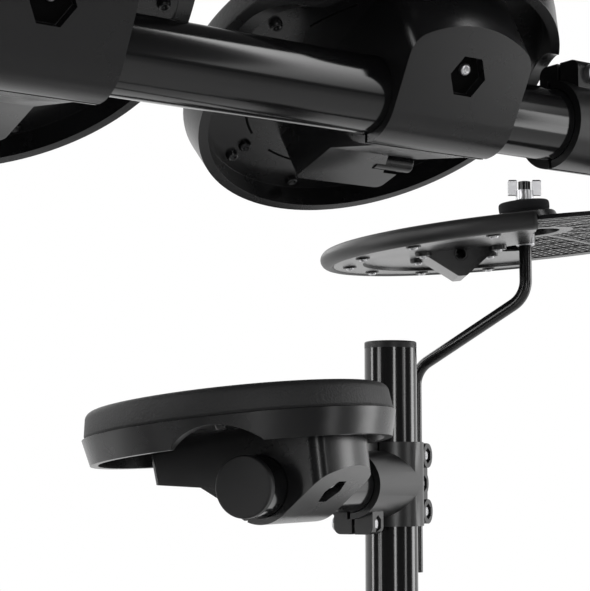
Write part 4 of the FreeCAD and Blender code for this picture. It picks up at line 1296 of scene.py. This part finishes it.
@dataclass
class RackFeet:
    """The ribbed rubber feet under the posts.

    The sole's edge is insets from the radius with their heights. A rib's points are shares of its pitch and
    of the groove's depth.
    """

    places: list[Vector]
    radius: float = 27.0
    top_radius: float = 23.05
    height: float = 34.0
    bore: float = 19.1
    sole: float = 8.0
    sole_edge: Profile = ((1.5, 0.0), (0.3, 0.8), (0.2, 3.0))
    ribs: int = 4
    rib_depth: float = 0.9
    rib_points: Profile = ((0.0, 0.0), (0.45, 0.0), (0.55, 1.0), (0.85, 1.0), (0.95, 0.0))
    first_rib: float = 6.0
    plain_top: float = 4.0
    side_inset: float = 0.05
    mouth_round: float = 1.5
    mouth_inset: float = 1.6
    mouth_points: int = 5
    mouth_drop: float = 0.6

    def profile(self) -> Section:
        """Draw the foot's section: sole, ribbed side, rounded mouth and blind bore.

        Returns:
            The section's points.
        """
        section = [(0.0, 0.0)]
        section += [(self.radius - inset, height) for inset, height in self.sole_edge]
        pitch = (self.height - self.first_rib - self.plain_top) / self.ribs
        for rib in range(self.ribs):
            level = self.first_rib + rib * pitch
            for share, sink in self.rib_points:
                height = level + share * pitch
                side = self.radius + (self.top_radius - self.radius) * height / self.height
                section.append((side - sink * self.rib_depth - self.side_inset, height))
        corner = (self.top_radius - self.mouth_inset, self.height - self.mouth_inset)
        section += arc_points(corner, self.mouth_round, 0.0, 90.0, self.mouth_points)
        section += [(self.bore, self.height - self.mouth_drop), (self.bore, self.sole), (0.0, self.sole)]
        return section

    def build(self) -> None:
        """Turn the feet as one piece that stands for the plain solids."""
        profile = self.profile()

        def build(shape: bmesh.types.BMesh) -> None:
            """Turn a foot at each post."""
            for place in self.places:
                lathe(shape, profile, Matrix.Translation(place), ROUND_STEPS)

        feet = mesh_object("ribbed_feet", build, FOOT_RUBBER)
        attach(feet, "rack")
        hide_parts("post_feet")


@dataclass
class SoundModule:
    """The sound module's display window, knobs and printed marks.

    Its own frame has the hinge axis as X and the case above it. A knob's dish is shares of its radius with
    drops from its top, and a pointer's reach and length are shares of its knob's radius.
    """

    frame: Matrix
    depth: float = 130.0
    back_height: float = 46.0
    front_height: float = 28.0
    lug_drop: float = 22.0
    width: float = 190.0
    dial_radius: float = 20.0
    dial_height: float = 12.0
    dial_ridges: int = 48
    dial_margin: float = 18.0
    volume_radius: float = 8.0
    volume_height: float = 14.0
    volume_ridges: int = 18
    volume_margin: float = 22.0
    ridge_depth: float = 0.45
    lift: float = 0.4
    spindle: float = 3.0
    spindle_depth: float = 8.0
    knob_dish: Profile = ((0.0, 1.0), (0.55, 0.9), (0.78, 0.1))
    knob_round: float = 1.5
    knob_inset: float = 1.6
    knob_round_points: int = 5
    knob_foot_edge: float = 0.4
    pointer_reach: float = 0.82
    pointer_length: float = 0.22
    pointer_width: float = 1.0
    pointer_thickness: float = 0.24
    pointer_sink: float = 0.02
    pointer_edge: float = 0.08
    window_size: tuple[float, float, float] = (63.2, 29.2, 0.9)
    window_sink: float = 0.65
    window_edge: float = 0.3
    dot_section: Profile = ((0.0, 0.12), (0.55, 0.1), (0.6, 0.0))
    dot_count: int = 11
    dot_first: float = 240.0
    dot_step: float = 30.0
    dot_gap: float = 3.0

    def panel(self, x: float, y: float) -> Matrix:
        """Find a place on the sloping top panel.

        Args:
            x: its place along the hinge, in millimetres.
            y: its place across the case, in millimetres.

        Returns:
            A frame there with Z outward.
        """
        fall = (self.back_height - self.front_height) / self.depth
        height = self.lug_drop + self.back_height - fall * (y + self.depth / 2)
        lean = Matrix.Rotation(-math.atan(fall), 4, "X")
        return self.frame @ Matrix.Translation(Vector((x, y, height)) * MM) @ lean

    def knob_profile(self, radius: float, height: float) -> Section:
        """Draw a knob's section from its dished top to its spindle's end.

        Args:
            radius: the knob's radius.
            height: the knob's height.

        Returns:
            The section's points.
        """
        top = self.lift + height
        section = [(radius * share, top - drop) for share, drop in self.knob_dish]
        corner = (radius - self.knob_inset, top - self.knob_round)
        section += arc_points(corner, self.knob_round, 90.0, 0.0, self.knob_round_points)
        edge = self.knob_foot_edge
        section += [(radius, self.lift + edge), (radius - edge, self.lift), (self.spindle, self.lift)]
        section += [(self.spindle, -self.spindle_depth), (0.0, -self.spindle_depth)]
        return section

    def volume_place(self) -> Matrix:
        """The volume knob's frame on the panel."""
        return self.panel(-self.width / 2 + self.volume_margin, -self.depth / 4)

    def build_knobs(self) -> None:
        """Make the ridged dial and the volume knob with their pale pointers."""
        dial_place = self.panel(self.width / 2 - self.dial_radius - self.dial_margin, 0.0)
        knobs = (
            ("module_dial", dial_place, self.dial_radius, self.dial_height, self.dial_ridges),
            (
                "module_volume_knob", self.volume_place(), self.volume_radius, self.volume_height,
                self.volume_ridges,
            ),
        )
        for node, place, radius, height, ridges in knobs:
            profile = self.knob_profile(radius, height)
            depth = self.ridge_depth / radius

            def ripple(angle: float, count: int = ridges, amount: float = depth) -> float:
                """The radius factor of a ridged grip."""
                return 1.0 - amount * (0.5 + 0.5 * math.cos(count * angle))

            def build(shape: bmesh.types.BMesh) -> None:
                """Turn the knob."""
                lathe(shape, profile, place, ridges * STEPS_PER_RIDGE, ripple=ripple)

            piece = mesh_object(f"{node}_grip", build, KNOB_MOULDING)
            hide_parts(node)
            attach(piece, node)
            self.add_pointer(node, place, radius, height)

    def add_pointer(self, node: str, place: Matrix, radius: float, height: float) -> None:
        """Lay a pale pointer line on a knob's top rim.

        Args:
            node: the knob's node.
            place: the knob's frame.
            radius: the knob's radius.
            height: the knob's height.
        """
        level = self.lift + height - self.pointer_sink
        spot = place @ Matrix.Translation(Vector((0.0, radius * self.pointer_reach, level)) * MM)
        size = Vector((self.pointer_width, radius * self.pointer_length, self.pointer_thickness))
        line = mesh_object(
            f"{node}_pointer", lambda shape: rounded_block(shape, size, spot, self.pointer_edge), MARK_PAINT
        )
        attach(line, node)

    def build_window(self) -> None:
        """Set the dark display window into its recess."""
        place = self.panel(0.0, -self.depth / 5)
        sunk = place @ Matrix.Translation((0.0, 0.0, -self.window_sink * MM))
        size = Vector(self.window_size)
        window = mesh_object(
            "display_window", lambda shape: rounded_block(shape, size, sunk, self.window_edge), WINDOW_GLOSS
        )
        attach(window, "module")

    def build_scale(self) -> None:
        """Print plain dots round the volume knob."""
        place = self.volume_place()
        ring = self.volume_radius + self.dot_gap

        def build(shape: bmesh.types.BMesh) -> None:
            """Turn a dot for each step of the knob."""
            for step in range(self.dot_count):
                spot = spot_on_ring(self.dot_first - self.dot_step * step, ring, 0.0)
                lathe(shape, self.dot_section, place @ Matrix.Translation(spot * MM), DOT_STEPS)

        dots = mesh_object("volume_scale_dots", build, MARK_PAINT)
        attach(dots, "module")

    def build(self) -> None:
        """Make all of the module's added pieces."""
        self.build_knobs()
        self.build_window()
        self.build_scale()


@dataclass
class RigidFinish:
    """Gives every construction piece its finish, and soft edges of a width set by its material slot."""

    nodes: dict[str, bpy.types.Object]
    slots: dict[str, str]
    edge_widths: dict[str, float] = field(default_factory=lambda: {
        "clamp_plastic": 0.8,
        "bracket_plastic": 1.4,
        "shell_plastic": 0.7,
        "cymbal_plastic": 0.8,
        "bright_steel": 0.4,
        "module_plastic": 1.5,
        "button_plastic": 0.4,
        "rod_paint": 0.4,
    })

    def build(self) -> None:
        """Dress each node by its material slot."""
        for name, node in sorted(self.nodes.items()):
            slot = self.slots[name]
            node.data.materials.clear()
            node.data.materials.append(NODE_FINISHES[slot].material())
            if slot in self.edge_widths:
                soften_edges(node, self.edge_widths[slot])


@dataclass(frozen=True)
class LightPanel:
    """A rectangular studio light.

    Attributes:
        name: the light's name.
        place: where its middle hangs, in metres.
        target: what it looks at, in metres.
        size: width and length in metres.
        power: watts.
        along: the way that its length runs.
        fade: how far its light sinks across its width and along its length, from 0 to 1.
    """

    name: str
    place: tuple[float, float, float]
    target: tuple[float, float, float]
    size: tuple[float, float]
    power: float
    along: tuple[float, float, float] = (0.0, 0.0, 1.0)
    fade: tuple[float, float] = (0.0, 0.0)


POST_TARGET = (0.34, 0.23, 0.9)
CROSSBAR_TARGET = (0.1, 0.1, 0.9)
PANELS = (
    LightPanel("far_left_strip", (-1.55, 1.71, 1.25), POST_TARGET, (0.42, 2.2), 22.0),
    LightPanel("left_strip", (-2.06, 0.23, 1.25), POST_TARGET, (0.6, 2.2), 25.0),
    LightPanel("front_strip", (-0.56, -1.99, 1.0), POST_TARGET, (0.36, 1.7), 16.0),
    LightPanel("right_strip", (0.76, -0.68, 0.65), POST_TARGET, (0.12, 0.6), 0.9),
    LightPanel("side_panel", (2.62, -0.52, 1.0), POST_TARGET, (0.8, 1.7), 21.0),
    LightPanel(
        "bar_panel", (1.04, -1.0, 1.45), CROSSBAR_TARGET, (0.5, 1.9), 20.0,
        along=(0.0, 0.5, 0.86), fade=(0.95, 0.75),
    ),
    LightPanel("rear_fill", (0.2, 2.3, 1.7), CROSSBAR_TARGET, (1.6, 1.2), 14.0),
)


@dataclass(frozen=True)
class Studio:
    """A white studio: floor, world, soft lights and the photograph's camera.

    Attributes:
        camera_place: where the camera stands, in metres.
        yaw: how far it turns from Y towards X, in degrees.
        pitch: how far it looks up, in degrees.
        lens: focal length in millimetres.
        sensor: sensor width in millimetres.
        far_clip: how far the camera sees, in metres.
        floor_half: half of the floor's side, in metres.
        floor_tone: the floor's grey.
        floor_roughness: the floor's roughness.
        floor_specular: the floor's specular level.
        floor_glow: how much white the floor adds where it is seen.
        floor_ramp: where the mirrored floor starts and ends to glow, in metres towards the backdrop.
        ambient: the world's light on matt surfaces.
        ceiling: the mirrored world's level overhead.
        ceiling_ramp: heights of a direction between which that level is reached.
        dark_side: the mirrored world's level on the camera's side.
        side_ramp: where a direction leaves the dark side and reaches full white.
    """

    camera_place: Vector
    yaw: float = 35.1
    pitch: float = 6.0
    lens: float = 100.5
    sensor: float = 36.0
    far_clip: float = 50.0
    floor_half: float = 3.2
    floor_tone: float = 0.86
    floor_roughness: float = 0.9
    floor_specular: float = 0.2
    floor_glow: float = 0.5
    floor_ramp: tuple[float, float] = (0.0, 0.7)
    ambient: float = 0.26
    ceiling: float = 0.06
    ceiling_ramp: tuple[float, float] = (0.15, 0.75)
    dark_side: float = 0.1
    side_ramp: tuple[float, float] = (-0.1, 0.3)

    @property
    def backdrop(self) -> Vector:
        turn = math.radians(self.yaw)
        return Vector((math.sin(turn), math.cos(turn), 0.0))

    def add_ramp(
        self, tree: bpy.types.NodeTree, value: bpy.types.NodeSocket, ends: tuple[float, float, float, float]
    ) -> bpy.types.NodeSocket:
        """Add a smooth ramp of a value.

        Args:
            tree: the tree that gets the node.
            value: what is ramped.
            ends: where the ramp starts and ends, and its levels there.

        Returns:
            The ramp's output.
        """
        ramp = add_node(tree, "ShaderNodeMapRange", interpolation_type="SMOOTHSTEP")
        for label, end in zip(("From Min", "From Max", "To Min", "To Max"), ends):
            ramp.inputs[label].default_value = end
        tree.links.new(value, ramp.inputs["Value"])
        return ramp.outputs["Result"]

    def along_backdrop(self, tree: bpy.types.NodeTree, place: bpy.types.NodeSocket) -> bpy.types.NodeSocket:
        """Measure a place or a direction along the way to the backdrop.

        Args:
            tree: the tree that gets the node.
            place: the vector to measure.

        Returns:
            The measure.
        """
        dot = add_node(tree, "ShaderNodeVectorMath", operation="DOT_PRODUCT")
        dot.inputs[1].default_value = self.backdrop
        tree.links.new(place, dot.inputs[0])
        return dot.outputs["Value"]

    def build_camera(self) -> None:
        """Make the camera that sees what the photograph shows."""
        data = bpy.data.cameras.new("photo_camera")
        data.lens = self.lens
        data.sensor_width = self.sensor
        data.clip_end = self.far_clip
        camera = bpy.data.objects.new("photo_camera", data)
        camera.location = self.camera_place
        camera.rotation_euler = (math.radians(90.0 + self.pitch), 0.0, math.radians(-self.yaw))
        bpy.context.scene.collection.objects.link(camera)
        bpy.context.scene.camera = camera

    def build_world(self) -> None:
        """Show plain white all round; mirror it only from the backdrop's side, and light with a low level."""
        world = bpy.data.worlds.new("white_studio")
        world.use_nodes = True
        tree = world.node_tree
        background = tree.nodes["Background"]
        background.inputs["Color"].default_value = (1.0, 1.0, 1.0, 1.0)
        rays = add_node(tree, "ShaderNodeLightPath")
        place = add_node(tree, "ShaderNodeTexCoord").outputs["Generated"]
        parts = add_node(tree, "ShaderNodeSeparateXYZ")
        tree.links.new(place, parts.inputs[0])
        below = self.add_ramp(tree, parts.outputs["Z"], (*self.ceiling_ramp, 1.0, self.ceiling))
        behind = self.add_ramp(tree, self.along_backdrop(tree, place), (*self.side_ramp, self.dark_side, 1.0))
        mirrored = combine(tree, "MULTIPLY", below, behind)
        lit = add_node(tree, "ShaderNodeMix", data_type="FLOAT")
        lit.inputs["A"].default_value = self.ambient
        tree.links.new(rays.outputs["Is Glossy Ray"], lit.inputs["Factor"])
        tree.links.new(mirrored, lit.inputs["B"])
        direct = combine(tree, "MAXIMUM", rays.outputs["Is Camera Ray"], rays.outputs["Is Transmission Ray"])
        level = add_node(tree, "ShaderNodeMix", data_type="FLOAT")
        level.inputs["B"].default_value = 1.0
        tree.links.new(direct, level.inputs["Factor"])
        tree.links.new(lit.outputs["Result"], level.inputs["A"])
        tree.links.new(level.outputs["Result"], background.inputs["Strength"])
        bpy.context.scene.world = world

    def build_floor(self) -> None:
        """Lay a pale floor that glows where it is seen and is mirrored brighter nearer the backdrop.
        """
        data = bpy.data.meshes.new("studio_floor")
        half = self.floor_half
        corners = [(-half, -half, 0.0), (half, -half, 0.0), (half, half, 0.0), (-half, half, 0.0)]
        data.from_pydata(corners, [], [(0, 1, 2, 3)])
        floor = bpy.data.objects.new("studio_floor", data)
        material = bpy.data.materials.new("pale_floor")
        material.use_nodes = True
        tree = material.node_tree
        shader = tree.nodes["Principled BSDF"]
        shader.inputs["Base Color"].default_value = (self.floor_tone, self.floor_tone, self.floor_tone, 1.0)
        shader.inputs["Roughness"].default_value = self.floor_roughness
        shader.inputs["Specular IOR Level"].default_value = self.floor_specular
        shader.inputs["Emission Color"].default_value = (1.0, 1.0, 1.0, 1.0)
        rays = add_node(tree, "ShaderNodeLightPath")
        place = add_node(tree, "ShaderNodeNewGeometry").outputs["Position"]
        near_backdrop = self.add_ramp(tree, self.along_backdrop(tree, place), (*self.floor_ramp, 0.0, 1.0))
        seen = combine(tree, "MULTIPLY", rays.outputs["Is Glossy Ray"], near_backdrop)
        for label in ("Is Camera Ray", "Is Transmission Ray"):
            seen = combine(tree, "MAXIMUM", seen, rays.outputs[label])
        glow = combine(tree, "MULTIPLY", seen, self.floor_glow)
        tree.links.new(glow, shader.inputs["Emission Strength"])
        data.materials.append(material)
        bpy.context.scene.collection.objects.link(floor)

    def add_light(self, panel: LightPanel) -> None:
        """Hang a rectangular soft light that looks at its target.

        Args:
            panel: the light's place, aim, size and power.
        """
        data = bpy.data.lights.new(panel.name, "AREA")
        data.shape = "RECTANGLE"
        data.size, data.size_y = panel.size
        data.energy = panel.power
        if any(panel.fade):
            self.add_fade(data, panel.fade)
        place = Vector(panel.place)
        back = (place - Vector(panel.target)).normalized()
        along = Vector(panel.along)
        upward = (along - along.dot(back) * back).normalized()
        turn = Matrix((upward.cross(back), upward, back)).transposed()
        light = bpy.data.objects.new(panel.name, data)
        light.matrix_world = Matrix.Translation(place) @ turn.to_4x4()
        light.visible_camera = False
        bpy.context.scene.collection.objects.link(light)

    def add_fade(self, data: bpy.types.AreaLight, fade: tuple[float, float]) -> None:
        """Let a light sink towards two of its edges, as a feathered soft box does.

        Args:
            data: the light.
            fade: how far it sinks across its width and along its length.
        """
        data.use_nodes = True
        tree = data.node_tree
        place = add_node(tree, "ShaderNodeNewGeometry").outputs["Parametric"]
        parts = add_node(tree, "ShaderNodeSeparateXYZ")
        tree.links.new(place, parts.inputs[0])
        across = self.add_ramp(tree, parts.outputs["X"], (0.0, 1.0, 1.0, 1.0 - fade[0]))
        along = self.add_ramp(tree, parts.outputs["Y"], (0.0, 1.0, 1.0 - fade[1], 1.0))
        level = combine(tree, "MULTIPLY", across, along)
        tree.links.new(level, tree.nodes["Emission"].inputs["Strength"])

    def build_lights(self) -> None:
        for panel in PANELS:
            self.add_light(panel)

    def build(self) -> None:
        """Set up the whole studio."""
        scene = bpy.context.scene
        scene.view_settings.view_transform = "Standard"
        self.build_camera()
        self.build_world()
        self.build_floor()
        self.build_lights()



@dataclass(frozen=True)
class CymbalSetting:
    """How a cymbal leans: how far, and towards which level direction, in degrees.

    Its rocking axis lies rock_height millimetres over the plane of its rim.
    """

    name: str
    lean_turn: float
    lean: float = 5.2
    rock_height: float = 18.5

    def frame(self, joints: JointTable) -> Matrix:
        """The cymbal's own frame from its rocking joint.


        Returns:
            A matrix whose origin is the middle of the rim plane and whose X points to the playing half.
        """
        pivot = joints.place(f"{self.name}_rock")
        up = Vector((0.0, 0.0, 1.0))
        playing = joints.axis(f"{self.name}_rock").cross(up).normalized()
        towards = ray(math.radians(self.lean_turn))
        lean = Matrix.Rotation(math.radians(self.lean), 4, up.cross(towards))
        turn = Matrix.Rotation(math.atan2(playing.y, playing.x), 4, "Z")
        drop = Matrix.Translation((0.0, 0.0, -self.rock_height * MM))
        return Matrix.Translation(pivot) @ lean @ drop @ turn


TOM_TILT = 27.5
ARM_PAD_TILT = 6.5
MODULE_TILT = 20.0
PAD_TILTS = (
    ("left_tom", TOM_TILT), ("right_tom", TOM_TILT), ("snare", ARM_PAD_TILT), ("floor_tom", ARM_PAD_TILT),
)
CYMBALS = (CymbalSetting("hihat", 161.2), CymbalSetting("ride", 18.8), CymbalSetting("crash", 120.0))
CAMERA_FROM_CROSSBAR = Vector((-0.407, -0.6223, 0.5707))


def tilt_placing(joints: JointTable, name: str, tilt: float) -> Placing:
    """The frame of a pad or the module from its tilt joint.

    Args:
        name: the tilting piece's name.
        tilt: its tilt towards the player, in degrees.

    Returns:
        The piece's placing.
    """
    return Placing(joints.place(f"{name}_tilt"), -joints.axis(f"{name}_tilt"), math.radians(tilt))


def foot_of(node: str) -> Vector:
    """The point on the floor under the middle of a node's box."""
    low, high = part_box(node)
    return Vector(((low.x + high.x) / 2, (low.y + high.y) / 2, 0.0))


def main() -> None:
    """Load the construction model, dress it and set up the studio."""
    logging.basicConfig(level=logging.INFO, format="%(message)s")
    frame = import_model()
    joints = JointTable(frame["joints"])
    slots = {part["node"]: part["material_slot"] for part in frame["record"]["subparts"]}

    RigidFinish(frame["nodes"], slots).build()
    for name, tilt in PAD_TILTS:
        pad = DrumPad(name, name, tilt_placing(joints, name, tilt))
        pad.build()
        LOG.info("%s: %d pieces", name, len(pad.pieces))
    for setting in CYMBALS:
        cymbal = CymbalPad(setting.name, f"{setting.name}_cymbal", setting.frame(joints))
        cymbal.build()
        LOG.info("%s: %d pieces", setting.name, len(cymbal.pieces))
    posts = [name for name in sorted(frame["nodes"]) if name.endswith("_post")]
    RackFeet([foot_of(name) for name in posts]).build()
    LOG.info("feet: %d in one piece", len(posts))
    SoundModule(tilt_placing(joints, "module", MODULE_TILT).matrix()).build()
    LOG.info("module: knobs, display window and scale")
    Studio(foot_of("crossbar") + CAMERA_FROM_CROSSBAR).build()


if __name__ == "__main__":
    main()
